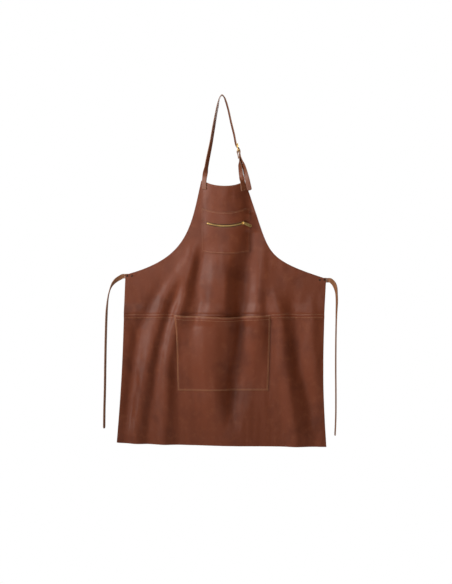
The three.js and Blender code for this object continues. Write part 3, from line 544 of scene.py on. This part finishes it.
woven, n, shader, where = finish_nodes("woven_tape")
weft, warp = [n.add("TexWave", ("bands_direction", axis), Vector=where, Scale=420.0,
                    Distortion=0.6).outputs["Fac"] for axis in "XZ"]
weave = n.math("MULTIPLY", weft, warp)
shade = n.mix(weave, rgba(0.06, 0.026, 0.012), rgba(0.2, 0.09, 0.04))
wire(n, shader, shade, n.spread(weave, 0.0, 1.0, 0.9, 0.72), weave, 0.6, 0.0002)
print("metal, thread and tape finishes ready")

# %% [markdown]
# ## Straps and ties
# A strap is a narrow sheet that follows a curve and twists as it goes. The grid has cells of about
# two millimetres, so a punched hole is made the way a punch makes it: the cells round one corner are
# taken out, and the ring that is left is drawn into a circle, or into a slot for the buckle's tongue.

# %% Helper: a strap along a route
STRAP_WIDE, STRAP_THICK = 16, 2.6
TIE_WIDE, TIE_THICK = 14.5, 2.2
CELL, HOLE_RADIUS = 2, 2.0

def show_raw(piece, back):
    """Gives the cut edge its finish, and the back too where back is 1."""
    piece.data.materials.append(flesh_side)
    piece.data.materials.append(cut_edge)
    skin = piece.modifiers["thickness"]
    skin.material_offset, skin.material_offset_rim = back, 2

def turning(turns, sign):
    """A strap's twist in degrees, from stops at minus the share of its length."""
    return lambda w: sign * profile(-w, turns)

def strap(name, body, route, twist, wide, thick, slots=(), round_end=0.0, hide=strap_hide):
    """slots are (w, length in mm): holes of 4 mm, drawn out along the strap; route is in mm."""
    columns, rows = 8, max(8, round(route.length / CELL))
    step = route.length / rows
    bm = bmesh.new()
    bmesh.ops.create_grid(bm, x_segments=columns, y_segments=rows, size=0.5)
    flat = {vert: [vert.co.x * wide, (vert.co.y + 0.5) * route.length] for vert in bm.verts}
    doomed = set()
    for w, long in slots:
        low, high = w * route.length - (long + step) / 2, w * route.length + (long + step) / 2
        middle = [v for v in bm.verts if abs(flat[v][0]) < 0.1 and low < flat[v][1] <= high]
        ring = {q for v in middle for face in v.link_faces for q in face.verts} - set(middle)
        doomed.update(middle)
        first, last = min(flat[v][1] for v in middle), max(flat[v][1] for v in middle)
        for v in ring:
            x, y = flat[v]
            end = min(max(y, first), last)
            far = Vector((x, y - end)).normalized() * HOLE_RADIUS
            flat[v] = [far.x, end + far.y]
    for vert, (x, y) in flat.items():
        if round_end and route.length - y < round_end:
            w = 1 - (route.length - y) / round_end
            x *= math.sqrt(max(1 - 0.75 * w ** 3, 0))
        middle, across, out = strap_frame(route, twist, y / route.length)
        vert.co = (middle + across * x) * MM
    bmesh.ops.delete(bm, geom=list(doomed), context="VERTS")
    piece = add_piece(name, bm, body, hide)
    thicken(piece, thick, 0.6, 3)
    show_raw(piece, 0)
    return piece

print("strap helper ready")

# %% [markdown]
# ### Waist ties
# The ties come before the other pieces, because they hang free: each is a band of leather of a real
# length. It leaves the corner sideways, bends over under its own weight and hangs nearly edge on.
# The real tie simply ends in a cut.

# %% Ties
LEATHER, LAYER_GAP, FIT_GAP = 1.6, 1.05, 0.35
TIE_OFF = -(LEATHER / 2 + LAYER_GAP / 2 + TIE_THICK / 2)
TIE_PAST, TIE_DROP = 2, 5  # where a tie leaves its root, out from the corner and down
CORNERS = {"left": (Vector((-307, -568.5)), -1), "right": (Vector((331, -581)), 1)}
TIE_POINTS = {
    "left": [(-324, 11, -577.5), (-337.5, 10, -586.5), (-349.5, 9, -601), (-358.8, 8, -626), (-365, 7, -670),
             (-368.6, 6, -760), (-370.4, 6, -850), (-371.6, 7, -930), (-373.4, 7, -1000), (-374, 7, -1056)],
    "right": [(344, 11, -586), (355, 10, -596.5), (361.5, 9, -613), (364.6, 8, -645), (363.2, 7, -695),
              (361.6, 6, -770), (361, 6, -860), (361.6, 7, -950), (361.2, 7, -1020), (358.8, 7, -1079)],
}
TIE_TURNS = {"left": [(0, 90), (-0.14, 4), (-0.3, 20)], "right": [(0, 90), (-0.13, 20), (-0.3, 7)]}
for side, (corner, sign) in CORNERS.items():
    start = place(corner.x + sign * (TIE_PAST + FIT_GAP), corner.y - TIE_DROP, TIE_OFF) / MM
    straight = start + Vector((sign * 6, 0, 0))
    route = Route([start, straight] + TIE_POINTS[side])
    tie = strap("waist_tie_" + side, "tie_" + side + "_free", route, turning(TIE_TURNS[side], -sign),
                TIE_WIDE, TIE_THICK, round_end=7, hide=tie_hide)
    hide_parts("tie_" + side)
    path = [list(route.at(i / 60) * MM) for i in range(61)]
    print(tie.name, "length", round(route.length, 1), "mm")

# %% [markdown]
# ## Wrinkles
# Leather that has hung for a while keeps small creases between its folds. They are a slow noise that
# moves every layer by the same amount, so a pocket never cuts into the panel behind it. The creases
# fade out where brass sits on the leather, because the metal was fitted to the smooth surface.

# %% Fine relief that all layers share
from mathutils import noise

STILL = [(9, ZIP_T, 84, 22), (-55, -288, 22, 30), (66, -291, 22, 30),
         (-307, -571, 42, 24), (331, -583, 42, 24)]  # middle s, t and half sizes

def stillness(s, t):
    """1 on free leather, 0 where metal or a strap sits."""
    free = 1
    for middle_s, middle_t, half_s, half_t in STILL:
        far = max(abs(s - middle_s) / half_s, abs(t - middle_t) / half_t)
        free = min(free, smooth(1.0, 1.5, far))
    return free

LONG_CREASE, SHORT_CREASE = 1.1, 0.4
DEEPER = [  # height, half width, line: what the hanging folds gain on the fixed frame's smooth ones
    (2.6, 17, [(-100, -500), (-171, -601), (-190, -648), (-212, -743), (-238, -870), (-254, -965),
               (-273, -1075)]),
    (4.5, 17, [(-84, -500), (-117, -601), (-128, -660), (-158, -743), (-174, -870), (-176, -965),
               (-184, -1075)]),
    (-4.5, 15, [(-143, -590), (-152, -648), (-184, -743), (-200, -807), (-211, -900), (-235, -1060)]),
    (-4, 17, [(-197, -601), (-222, -648), (-266, -743), (-282, -870), (-304, -1060)]),
    (-4, 17, [(-60, -480), (-82, -601), (-70, -648), (-90, -740)]),
    (-3.5, 20, [(-139, -800), (-146, -870), (-133, -965), (-130, -1060)]),
    (7, 38, [(-20, -520), (-30, -640), (-46, -743), (-44, -870), (-28, -980)]),
    (-7.5, 31, [(64, -500), (66, -600), (62, -743), (58, -807), (44, -900), (32, -990)]),
    (3, 11, [(11, -540), (10, -600), (8, -660)]),
    (3, 16, [(112, -560), (116, -648), (120, -700)]),
    (5, 20, [(160, -610), (190, -743), (200, -870), (215, -965), (231, -1075)]),
    (-4.5, 20, [(231, -730), (238, -807), (247, -870), (276, -965), (290, -1060)]),
    (3, 18, [(286, -640), (286, -807), (300, -900)]),
    (-4.5, 20, [(58, -640), (54, -743), (46, -830), (38, -900)]),
    (5, 58, [(-75, -780), (-82, -900), (-72, -1000)]),
    (-6, 62, [(362, -860), (372, -1075)]),
    (-5.5, 20, [(86, -300), (89, -380), (94, -470)]),
]

def wrinkle(s, t):
    """Millimetres that the leather stands out beyond the smooth surface."""
    free = stillness(s, t)
    if not free:
        return 0
    lean = s * (0.55 + 0.0007 * abs(t))
    long_crease = noise.noise(Vector((lean / 24, t / 130, 3.1)))
    short_crease = noise.noise(Vector((s / 15, t / 26, 8.4)))
    return free * (fold_depth(s, t, DEEPER) + LONG_CREASE * long_crease + SHORT_CREASE * short_crease)

def leather_at(s, t, off=0.0):
    return place(s, t, off + wrinkle(s, t))

print("relief at a skirt point:", round(wrinkle(-200, -900), 2), "mm")

# %% [markdown]
# ## Bib and skirt
# The apron's body is two panels, lapped and stitched at the waist. The bib narrows to the neckline
# along two long hollow curves, the armholes. Its rows run from armhole to armhole, so the outline is
# exact and needs no trimming.

# %% Bib panel
BIB_TOP, BIB_TOP_LEFT, BIB_TOP_RIGHT, NECK_SCOOP = -272.6, -65.6, 71.3, 5
WAIST_LEFT, WAIST_RIGHT = CORNERS["left"][0], CORNERS["right"][0]
SEAM_T, SEAM_LAP, SEAM_LEFT, SEAM_RIGHT = -699, 20, -312, 325
BIB_BOTTOM, SKIRT_TOP = SEAM_T - SEAM_LAP / 2, SEAM_T + SEAM_LAP / 2
ARMHOLE_LEFT = [(BIB_TOP_LEFT, BIB_TOP), (-100, -419), (-103, -516), tuple(WAIST_LEFT)]
ARMHOLE_RIGHT = [(BIB_TOP_RIGHT, BIB_TOP), (160, -497), (108, -511), tuple(WAIST_RIGHT)]
LAP_SHARE, WAIST_SHARE = 0.14, 0.3  # where the lap and the straight sides end, of the bib's height
LAP_STEP = LEATHER + LAYER_GAP

def bib_ends(v):
    if v <= LAP_SHARE:
        t = lerp(BIB_BOTTOM, SKIRT_TOP, v / LAP_SHARE)
        return Vector((SEAM_LEFT, t)), Vector((SEAM_RIGHT, t))
    if v <= WAIST_SHARE:
        w = (v - LAP_SHARE) / (WAIST_SHARE - LAP_SHARE)
        return (Vector((SEAM_LEFT, SKIRT_TOP)).lerp(WAIST_LEFT, w),
                Vector((SEAM_RIGHT, SKIRT_TOP)).lerp(WAIST_RIGHT, w))
    w = 1 - (v - WAIST_SHARE) / (1 - WAIST_SHARE)
    return bezier(ARMHOLE_LEFT, w), bezier(ARMHOLE_RIGHT, w)

def bib_st(u, v):
    left, right = bib_ends(v)
    scoop = NECK_SCOOP * (1 - (2 * u - 1) ** 4) * smooth(-360, BIB_TOP, left.y)
    return lerp(left.x, right.x, u), lerp(left.y, right.y, u) - scoop

SEAM_ROWS = (SEAM_T + 5, SEAM_T - 5)

def bib_off(t):
    """The bib's height: on the body's surface, and out over the skirt at the lap."""
    over = smooth(SKIRT_TOP + 4, SKIRT_TOP + 34, t)
    puff = sum(0.75 * math.exp(-((t - middle) / 2.6) ** 2) for middle in (SEAM_T + 11, SEAM_T))
    return LAP_STEP * (1 - over) + puff

def flat_area(at, steps=60):
    """The area in square metres of a piece laid flat on the front view."""
    total = 0
    for i in range(steps):
        for j in range(steps):
            a, b = Vector(at(i / steps, j / steps)), Vector(at((i + 1) / steps, j / steps))
            c, d = Vector(at((i + 1) / steps, (j + 1) / steps)), Vector(at(i / steps, (j + 1) / steps))
            total += abs((c - a).cross(d - b)) / 2
    return total * MM * MM

def panel(name, node, columns, rows, at, off, thick=LEATHER, flat=None, edge_wear_and_highlight=0.25):
    """A leather layer: at(u, v) gives its place on the front view, off(u, v) its height above it."""
    def where(u, v):
        s, t = at(u, v)
        return leather_at(s, t, off(u, v))
    piece = leather_sheet(name, leather, columns, rows, thick, where, edge_wear_and_highlight=edge_wear_and_highlight)
    show_raw(piece, 1)
    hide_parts(node)
    area = flat_area(at)
    print(name, "cut from", flat, "m, area", round(area, 4), "m2")
    return piece

panel("bib_leather", "bib_panel", 190, 150, bib_st, lambda u, v: bib_off(bib_st(u, v)[1]), flat=(0.66, 0.45))

# %% Skirt panel
HEM_LEFT, HEM_RIGHT = Vector((-334.5, -1101)), Vector((332, -1116))
SKIRT_SHARE = 14 / 15  # below this share of the height the rows run evenly up from the hem

def skirt_st(u, v):
    if v > SKIRT_SHARE:
        w = (v - SKIRT_SHARE) / (1 - SKIRT_SHARE)
        return lerp(SEAM_LEFT, SEAM_RIGHT, u), lerp(BIB_BOTTOM, SKIRT_TOP, w)
    w = v / SKIRT_SHARE
    left = HEM_LEFT.lerp(Vector((SEAM_LEFT, BIB_BOTTOM)), w)
    right = HEM_RIGHT.lerp(Vector((SEAM_RIGHT, BIB_BOTTOM)), w)
    ease = 3 * math.sin(math.pi * w)
    return lerp(left.x + ease, right.x - 2 * ease, u), lerp(left.y, right.y, u ** 0.55)

panel("skirt_leather", "skirt_panel", 200, 132, skirt_st, lambda u, v: 0, flat=(0.69, 0.43))

# %% Front pocket
POCKET_TOP, POCKET_TALL, POCKET_GAPE, POCKET_DIP = -697, 238, 15, 5
POCKET_LEFT, POCKET_RIGHT, POCKET_TAPER = -148, 154, 8

def pocket_st(u, v):
    taper = POCKET_TAPER * (1 - v)
    t = POCKET_TOP - POCKET_TALL * (1 - v) - POCKET_DIP * v * math.sin(math.pi * u)
    return lerp(POCKET_LEFT + taper, POCKET_RIGHT - taper, u), t

def pocket_off(u, v):
    seat = LAP_STEP + LAP_STEP * smooth(BIB_BOTTOM - 26, BIB_BOTTOM, pocket_st(u, v)[1])
    return seat + POCKET_GAPE * (1 - (2 * u - 1) ** 4) * smooth(0, 0.9, v)

# The pocket's outline gets the most tan: partly wear, partly a painted highlight on its lit edge.
panel("front_pocket_leather", "front_pocket", 96, 76, pocket_st, pocket_off, flat=(0.31, 0.245), edge_wear_and_highlight=1.0)

# %% Chest pocket: the band above the zip and the panel below it
CHEST_LEFT, CHEST_RIGHT, CHEST_TOP, CHEST_BOTTOM = -63, 88, -361, -498
WINDOW_HALF, TAPE_THICK, PATCH_LEATHER = 5.2, 0.6, 1.4
TAPE_BACK = LEATHER / 2 + LAYER_GAP / 2
PATCH_OFF = TAPE_BACK + TAPE_THICK + LAYER_GAP / 2 + PATCH_LEATHER / 2

def between(t0, t1):
    return lambda u, v: (lerp(CHEST_LEFT, CHEST_RIGHT, u), lerp(t0, t1, v))

panel("chest_band_leather", "chest_band", 60, 16, between(ZIP_T + WINDOW_HALF, CHEST_TOP),
      lambda u, v: PATCH_OFF, PATCH_LEATHER, flat=(0.155, 0.04), edge_wear_and_highlight=0.3)
panel("chest_pocket_leather", "chest_panel", 60, 36, between(CHEST_BOTTOM, ZIP_T - WINDOW_HALF),
      lambda u, v: PATCH_OFF, PATCH_LEATHER, flat=(0.155, 0.09), edge_wear_and_highlight=0.2)

# %% [markdown]
# ## Neck strap and buckle strap
# The long strap is sewn to the left corner of the bib, goes over the peg, comes down and through the
# buckle, and its tail hangs beside the short strap that holds the buckle. Both straps are flat on
# the bib where they are sewn and stand on edge above it, so each has a twist along its length.

# %% Buckle frame of reference and strap routes
BUCKLE_AT, BUCKLE_LEAN = Vector((49.2, -0.5, -166.5)), math.radians(8.6)
BUCKLE_LONG, BUCKLE_BAR, BUCKLE_THICK = 26, 3, 2.6
DOWN = Vector((math.sin(BUCKLE_LEAN), 0, -math.cos(BUCKLE_LEAN)))
OUT = Vector((math.cos(BUCKLE_LEAN), 0, math.sin(BUCKLE_LEAN)))
BAR_AT = (BUCKLE_LONG - BUCKLE_BAR) / 2
WRAP = BUCKLE_BAR / 2 + FIT_GAP + STRAP_THICK / 2 + 0.25
TAIL_OUT = WRAP + STRAP_THICK + FIT_GAP + 0.2
INNER = -(BUCKLE_THICK / 2 + FIT_GAP + STRAP_THICK / 2 + 0.1)
SEAT_OFF = LEATHER / 2 + LAYER_GAP + STRAP_THICK / 2

def at_buckle(a, c):
    return BUCKLE_AT + DOWN * a + OUT * c

def seat_lean(s, t):
    out = cloth_normal(s, t)
    return math.degrees(math.atan2(abs(out.x), -out.y))

def seat(s, t):
    return place(s, t, SEAT_OFF) / MM

TAIL_CLEAR = STRAP_WIDE / 2
neck_route = Route([
    seat(-55, -300), seat(-55, -276), (-46.9, -3, -212.7), (-34.9, 0, -152), (-23.8, 0, -86.5),
    (-13, 0, -30.7), (-6.2, 0, -6), (0, 0, STRAP_THICK / 2), (7, 0, -6), (18, 0, -38), (29, 0, -86.5),
    (38.5, 0, -125.5), at_buckle(-BAR_AT, INNER), at_buckle(-BAR_AT + 6, INNER + 1.6),
    at_buckle(BAR_AT - 7, TAIL_OUT - 1.8), at_buckle(BAR_AT, TAIL_OUT), at_buckle(BAR_AT + 9, TAIL_OUT - 1.5),
    (60.6, -1.5, -206), (61 + TAIL_CLEAR, -5, -226), (70.5 + TAIL_CLEAR, -12, -262),
    (79.5 + TAIL_CLEAR, -16, -302)])

NECK_TURNS = [  # minus the share of the length, degrees: flat on the bib, on edge at peg and buckle
    (-0.055, 90 + seat_lean(-57, -288)), (-0.115, 43), (-0.29, 30), (-0.42, 19), (-0.487, 0),
    (-0.535, 12), (-0.68, 14), (-0.74, 14), (-0.8, 0), (-0.87, 42), (-0.96, 66)]
BUCKLE_TURNS = [(-0.17, 90 + seat_lean(65, -290)), (-0.33, 52), (-0.5, 38), (-0.62, 0)]

wrap_points = [at_buckle(BAR_AT - WRAP * math.sin(math.pi * i / 6), WRAP * math.cos(math.pi * i / 6))
               for i in range(7)]
buckle_route = Route([seat(66.5, -303), seat(64.5, -279), (60.3, -5, -250), (56.6, -1, -219),
                      at_buckle(BAR_AT + 14, 1.6)] + wrap_points
                     + [at_buckle(BAR_AT + 8, -STRAP_THICK / 2 - 0.9),
                        at_buckle(BAR_AT + 22, -STRAP_THICK / 2 - 0.6)])

print("neck strap", round(neck_route.length, 1), "mm, buckle strap", round(buckle_route.length, 1), "mm")

# %% The two straps, with their holes
def nearest_share(route, point):
    return min((((route.at(i / 2000) - point).length, i / 2000) for i in range(2001)))[1]

TONGUE_OUT = BUCKLE_THICK / 2 + FIT_GAP + 1.1  # the tongue's height above the frame's middle
crossing = nearest_share(neck_route, at_buckle(1.5, TONGUE_OUT))
HOLE_PITCH, HOLES_FROM = 25, 0.735
slots = [(HOLES_FROM + k * HOLE_PITCH / neck_route.length, 0) for k in (-3, -2, 2, 3)]  # above, below
neck = strap("neck_strap_leather", "apron", neck_route, turning(NECK_TURNS, -1),
             STRAP_WIDE, STRAP_THICK, slots=slots + [(crossing, 8)], round_end=6)
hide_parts("neck_strap")
wrap_middle = nearest_share(buckle_route, wrap_points[3])
short = strap("buckle_strap_leather", "apron", buckle_route, turning(BUCKLE_TURNS, 1),
              STRAP_WIDE, STRAP_THICK, slots=[(wrap_middle, 16)])
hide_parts("buckle_strap")
print("tongue crosses the neck strap at", round(crossing, 3), "of its length")

# %% Tie roots behind the waist corners
ROOT_IN, ROOT_DROP = 34.5, 3.5
for side, (corner, sign) in CORNERS.items():
    inner = Vector((corner.x - sign * ROOT_IN, corner.y - ROOT_DROP))
    outer = Vector((corner.x + sign * TIE_PAST, corner.y - TIE_DROP))
    def where(u, v, inner=inner, outer=outer, sign=sign):
        w = u if sign > 0 else 1 - u
        line = inner.lerp(outer, w)
        return place(line.x, line.y + (v - 0.5) * TIE_WIDE, TIE_OFF)
    root = leather_sheet("tie_root_leather_" + side, tie_hide, 18, 8, TIE_THICK, where, rim=0.5)
    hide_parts("tie_root_" + side)
print("tie roots made")

# %% [markdown]
# ## Zip
# Brass teeth alternate from two tapes and meet in the middle. Each tooth is a small bevelled block,
# light enough to repeat. The teeth follow the exact arc that the slider turns along.

# %% Zip chain directions along the arc
ARC_AXIS = Vector((1, 0, 0)).cross(Vector((0, -BOW_DEPTH, -BOW_SAG)).normalized()).normalized()
ARC_MIDDLE = cloth(BOW_MID, ZIP_T)
ARC_CENTRE = ARC_MIDDLE - Vector((0, -BOW_DEPTH, -BOW_SAG)).normalized() * BOW_RADIUS
SLIDER_S = 56  # where the slider stands, right of the bow's middle
END_TURN = math.asin(SLIDER_S / BOW_RADIUS)
chain_out = cloth_normal(BOW_MID + SLIDER_S, ZIP_T)
chain_out.rotate(Quaternion(ARC_AXIS, END_TURN))
chain_out.x = 0
chain_out.normalize()
chain_up = chain_out.cross(Vector((1, 0, 0))).normalized()

def on_chain(along, up, out):
    """A point beside the zip's centre line, in millimetres."""
    point = ARC_MIDDLE + chain_up * up + chain_out * out - ARC_CENTRE
    point.rotate(Quaternion(ARC_AXIS, -along / BOW_RADIUS))
    return ARC_CENTRE + point

print("arc centre", [round(x, 2) for x in ARC_CENTRE])

# %% Teeth and tapes
TOOTH_PITCH, TOOTH_WIDE, TOOTH_REACH = 3.6, 1.4, 1.3
CHAIN_HALF, CHAIN_SPINE, CHAIN_BACK, CHAIN_THICK, CHAIN_END = 3.1, 1.4, 1.5, 2.4, 58
CHAIN_MIDDLE, TAPE_EDGE, TAPE_PAST = CHAIN_BACK + CHAIN_THICK / 2, 15, 5

for label, side in (("upper", 1), ("lower", -1)):
    bm = bmesh.new()
    count = int((2 * CHAIN_END - TOOTH_PITCH) / TOOTH_PITCH)
    first = -CHAIN_END + TOOTH_PITCH / 2 + (0 if side > 0 else TOOTH_PITCH / 2)
    tall = CHAIN_HALF - CHAIN_SPINE / 2 + TOOTH_REACH
    for i in range(count):
        made = bmesh.ops.create_cube(bm, size=1)
        bmesh.ops.scale(bm, vec=(TOOTH_WIDE, tall, CHAIN_THICK - 0.3), verts=made["verts"])
        edges = list({e for v in made["verts"] for e in v.link_edges})
        rounded = bmesh.ops.bevel(bm, geom=edges, offset=0.3, segments=1, profile=0.5,
                                  affect="EDGES", material=-1)
        bmesh.ops.translate(bm, verts=list(set(rounded["verts"])),
                            vec=(first + i * TOOTH_PITCH, side * (tall / 2 - TOOTH_REACH), CHAIN_MIDDLE))
    for vert in bm.verts:
        vert.co = on_chain(*vert.co) * MM
    teeth = add_piece("zip_teeth_brass_" + label, bm, "apron", brass, smooth_faces=False)
    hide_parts("zip_teeth_" + label)
    def cord_edge(u, v, side=side):
        along = lerp(-CHAIN_END, CHAIN_END, u)
        return on_chain(along, side * lerp(CHAIN_HALF - CHAIN_SPINE, CHAIN_HALF, v), CHAIN_MIDDLE) * MM
    bead = leather_sheet("zip_cord_" + label, woven, 60, 3, CHAIN_THICK - 0.5, cord_edge, rim=0.6)
    def tape(u, v, side=side):
        along = lerp(-CHAIN_END - TAPE_PAST, CHAIN_END + TAPE_PAST, u)
        up = side * lerp(CHAIN_HALF + FIT_GAP, TAPE_EDGE, v)
        s = BOW_MID + BOW_RADIUS * math.sin(along / BOW_RADIUS)
        return place(s, ZIP_T + up, TAPE_BACK + TAPE_THICK / 2)
    strip = leather_sheet("zip_tape_cloth_" + label, woven, 60, 6, TAPE_THICK, tape, rim=0.1)
    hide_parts("zip_tape_" + label)
print("zip with", count, "teeth a side")

# %% [markdown]
# ## Brass fittings
# The slider, its pull and the buckle are cast, then tumbled, so no edge on them is sharp. Their
# shapes are the fixed frame's own. Each is copied, its loose triangles are merged, its flat faces
# are joined again and its edges are rounded.

# %% Rounded copies of the small castings
def casting(name, node, body, rim):
    bm = bmesh.new()
    bm.from_mesh(bpy.data.objects[node].data)
    bmesh.ops.remove_doubles(bm, verts=bm.verts, dist=1e-6)
    bmesh.ops.dissolve_limit(bm, angle_limit=math.radians(2), verts=bm.verts, edges=bm.edges)
    piece = add_piece(name, bm, body, brass)
    round_edges(piece, rim, 3, 38).harden_normals = True
    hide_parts(node)

casting("slider_casting", "zip_slider", "slider", 0.22)
casting("pull_tab_casting", "zip_pull", "pull", 0.2)
casting("buckle_tongue_casting", "buckle_tongue", "tongue", 0.45)
casting("buckle_frame_casting", "buckle_frame", "apron", 0.3)
print("castings rounded")

# %% Domed rivets
FRONT_SEAT = LEATHER / 2 + FIT_GAP
BACK_SEAT = TIE_OFF - TIE_THICK / 2 - FIT_GAP
CAP, CAP_RISE, POST, TAIL, TAIL_RISE = 3.0, 1.6, 1.5, 2.6, 0.8  # radii and rises
RIVET_INSET, RIVET_PITCH, RIVET_DROP = 5.5, 15.5, 4  # from the corner
quarter = [math.pi / 2 * k / 7 for k in range(7)]
dome = [(CAP * math.cos(a), FRONT_SEAT + CAP_RISE * math.sin(a)) for a in quarter]
shank = [(0, BACK_SEAT - TAIL_RISE), (TAIL, BACK_SEAT - TAIL_RISE), (CAP, BACK_SEAT),
         (POST, BACK_SEAT), (POST, FRONT_SEAT)]
outline = shank + dome + [(0, FRONT_SEAT + CAP_RISE)]
for side, (corner, sign) in CORNERS.items():
    for which, inset in (("outer", 0), ("inner", RIVET_PITCH)):
        s, t = corner.x - sign * (RIVET_INSET + inset), corner.y - RIVET_DROP
        bm = bmesh.new()
        verts = [bm.verts.new((r, 0, z)) for r, z in outline]
        edges = [bm.edges.new(pair) for pair in zip(verts, verts[1:])]
        bmesh.ops.spin(bm, geom=verts + edges, cent=(0, 0, 0), axis=(0, 0, 1), angle=2 * math.pi, steps=32,
                       use_merge=True)
        bmesh.ops.remove_doubles(bm, verts=bm.verts, dist=1e-4)
        bmesh.ops.recalc_face_normals(bm, faces=bm.faces)
        turn = Vector((0, 0, 1)).rotation_difference(cloth_normal(s, t)).to_matrix().to_4x4()
        bmesh.ops.transform(bm, verts=bm.verts,
                            matrix=Matrix.Scale(MM, 4) @ Matrix.Translation(cloth(s, t)) @ turn)
        rivet = add_piece("rivet_dome_" + side + "_" + which, bm, "apron", rivet_brass_painted_dark)
        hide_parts("rivet_" + side + "_" + which)
print("rivets turned")

# %% [markdown]
# ## Stitching
# The layers are held by waxed thread, in rows a few millimetres from each edge. A stitch is a short
# bead that sinks into the leather at both ends. Hundreds are needed, so each has only a few faces.
# The chest pocket's sides and the rows beside its zip are sewn in a darker thread, which hardly shows.

# %% Rows of stitches
STITCH, STITCH_GAP, THREAD = 3.6, 1.0, 0.9

def sew(name, rows, thread_kind=thread):
    """rows are lists of (s, t, off): a line on the leather, off being its outer face's height."""
    bm = bmesh.new()
    count = 0
    for row in rows:
        line = [leather_at(*spot) / MM for spot in row]
        facing = [cloth_normal(s, t) for s, t, off in row]
        marks = [0]
        for a, b in zip(line, line[1:]):
            marks.append(marks[-1] + (b - a).length)
        number = max(1, int(marks[-1] / (STITCH + STITCH_GAP)))
        pitch, k = marks[-1] / number, 0
        for i in range(number):
            x = (i + 0.5) * pitch
            while k < len(marks) - 2 and marks[k + 1] < x:
                k += 1
            w = (x - marks[k]) / (marks[k + 1] - marks[k])
            along = (line[k + 1] - line[k]).normalized()
            out = facing[k].lerp(facing[k + 1], w)
            out = (out - along * out.dot(along)).normalized()
            turn = Matrix((along, out.cross(along), out)).transposed().to_4x4()
            size = Matrix.Diagonal((STITCH / 2, THREAD / 2, THREAD / 2, 1))
            spot = Matrix.Translation(line[k].lerp(line[k + 1], w) + out * 0.12)
            bmesh.ops.create_uvsphere(bm, u_segments=6, v_segments=4, radius=1,
                                      matrix=Matrix.Scale(MM, 4) @ spot @ turn @ size)
            count += 1
    piece = add_piece(name, bm, "apron", thread_kind)
    print(name, count, "stitches")

def run(at, steps=80):
    """A line on the leather, from a function of w that gives (s, t, off)."""
    return [at(i / steps) for i in range(steps + 1)]

def pocket_spot(u, v):
    s, t = pocket_st(u, v)
    return s, t, pocket_off(u, v) + LEATHER / 2

def straight(off, steps, *ends):
    """Straight rows at one height off; ends are (s0, t0, s1, t1)."""
    return [run(lambda w, e=e: (lerp(e[0], e[2], w), lerp(e[1], e[3], w), off), steps) for e in ends]

def seam_parts(t):
    """The waist seam's row left and right of the pocket, which covers its middle."""
    row, = straight(bib_off(t) + LEATHER / 2, 300, (SEAM_LEFT + 3, t, SEAM_RIGHT - 3, t))
    left = [spot for spot in row if spot[0] < POCKET_LEFT - 2]
    right = [spot for spot in row if spot[0] > POCKET_RIGHT + 2]
    return [left, right]

sew("waist_seam_stitches", [part for t in SEAM_ROWS for part in seam_parts(t)])
INSET = 4  # from an edge to its row of stitches
edge_u, edge_v = INSET / (POCKET_RIGHT - POCKET_LEFT), INSET / POCKET_TALL
low_u, high_u, low_v, high_v = edge_u, 1 - edge_u, edge_v, 1 - edge_v
fold_v = 1 - 3.2 * edge_v  # the lower row of the turned top edge
sew("front_pocket_stitches", [
    run(lambda w, a=a, b=b: pocket_spot(lerp(a[0], b[0], w), lerp(a[1], b[1], w)))
    for a, b in (((low_u, high_v), (low_u, low_v)), ((low_u, low_v), (high_u, low_v)),
                 ((high_u, low_v), (high_u, high_v)), ((low_u, high_v), (high_u, high_v)),
                 ((low_u, fold_v), (high_u, fold_v)))])

def strap_end_rows(s_low, t_low, s_high, t_high):
    """Two rows along the strap's sides and one across its end."""
    half = STRAP_WIDE / 2 - 2.4
    return straight(SEAT_OFF + STRAP_THICK / 2, 12,
                    (s_low - half, t_low + 3, s_high - half, t_high - 3),
                    (s_low + half, t_low + 3, s_high + half, t_high - 3),
                    (s_low - half, t_low + 3, s_low + half, t_low + 3))

sew("strap_end_stitches", strap_end_rows(-55, -300, -55, -277) + strap_end_rows(66.5, -303, 64.8, -281))

L, R, PATCH_FRONT = CHEST_LEFT + 3.5, CHEST_RIGHT - 3.5, PATCH_OFF + PATCH_LEATHER / 2
TOP, ABOVE_ZIP, BELOW_ZIP, BOTTOM = CHEST_TOP - INSET, ZIP_T + 9, ZIP_T - 9, CHEST_BOTTOM + INSET
sew("chest_pocket_stitches", straight(PATCH_FRONT, 40, (L, TOP, R, TOP), (L, BOTTOM, R, BOTTOM)))
sew("chest_side_stitches", straight(
    PATCH_FRONT, 40, (L, ABOVE_ZIP, R, ABOVE_ZIP), (L, BELOW_ZIP, R, BELOW_ZIP),
    (L, TOP, L, ABOVE_ZIP), (R, TOP, R, ABOVE_ZIP),
    (L, BELOW_ZIP, L, BOTTOM), (R, BELOW_ZIP, R, BOTTOM)), dark_thread)
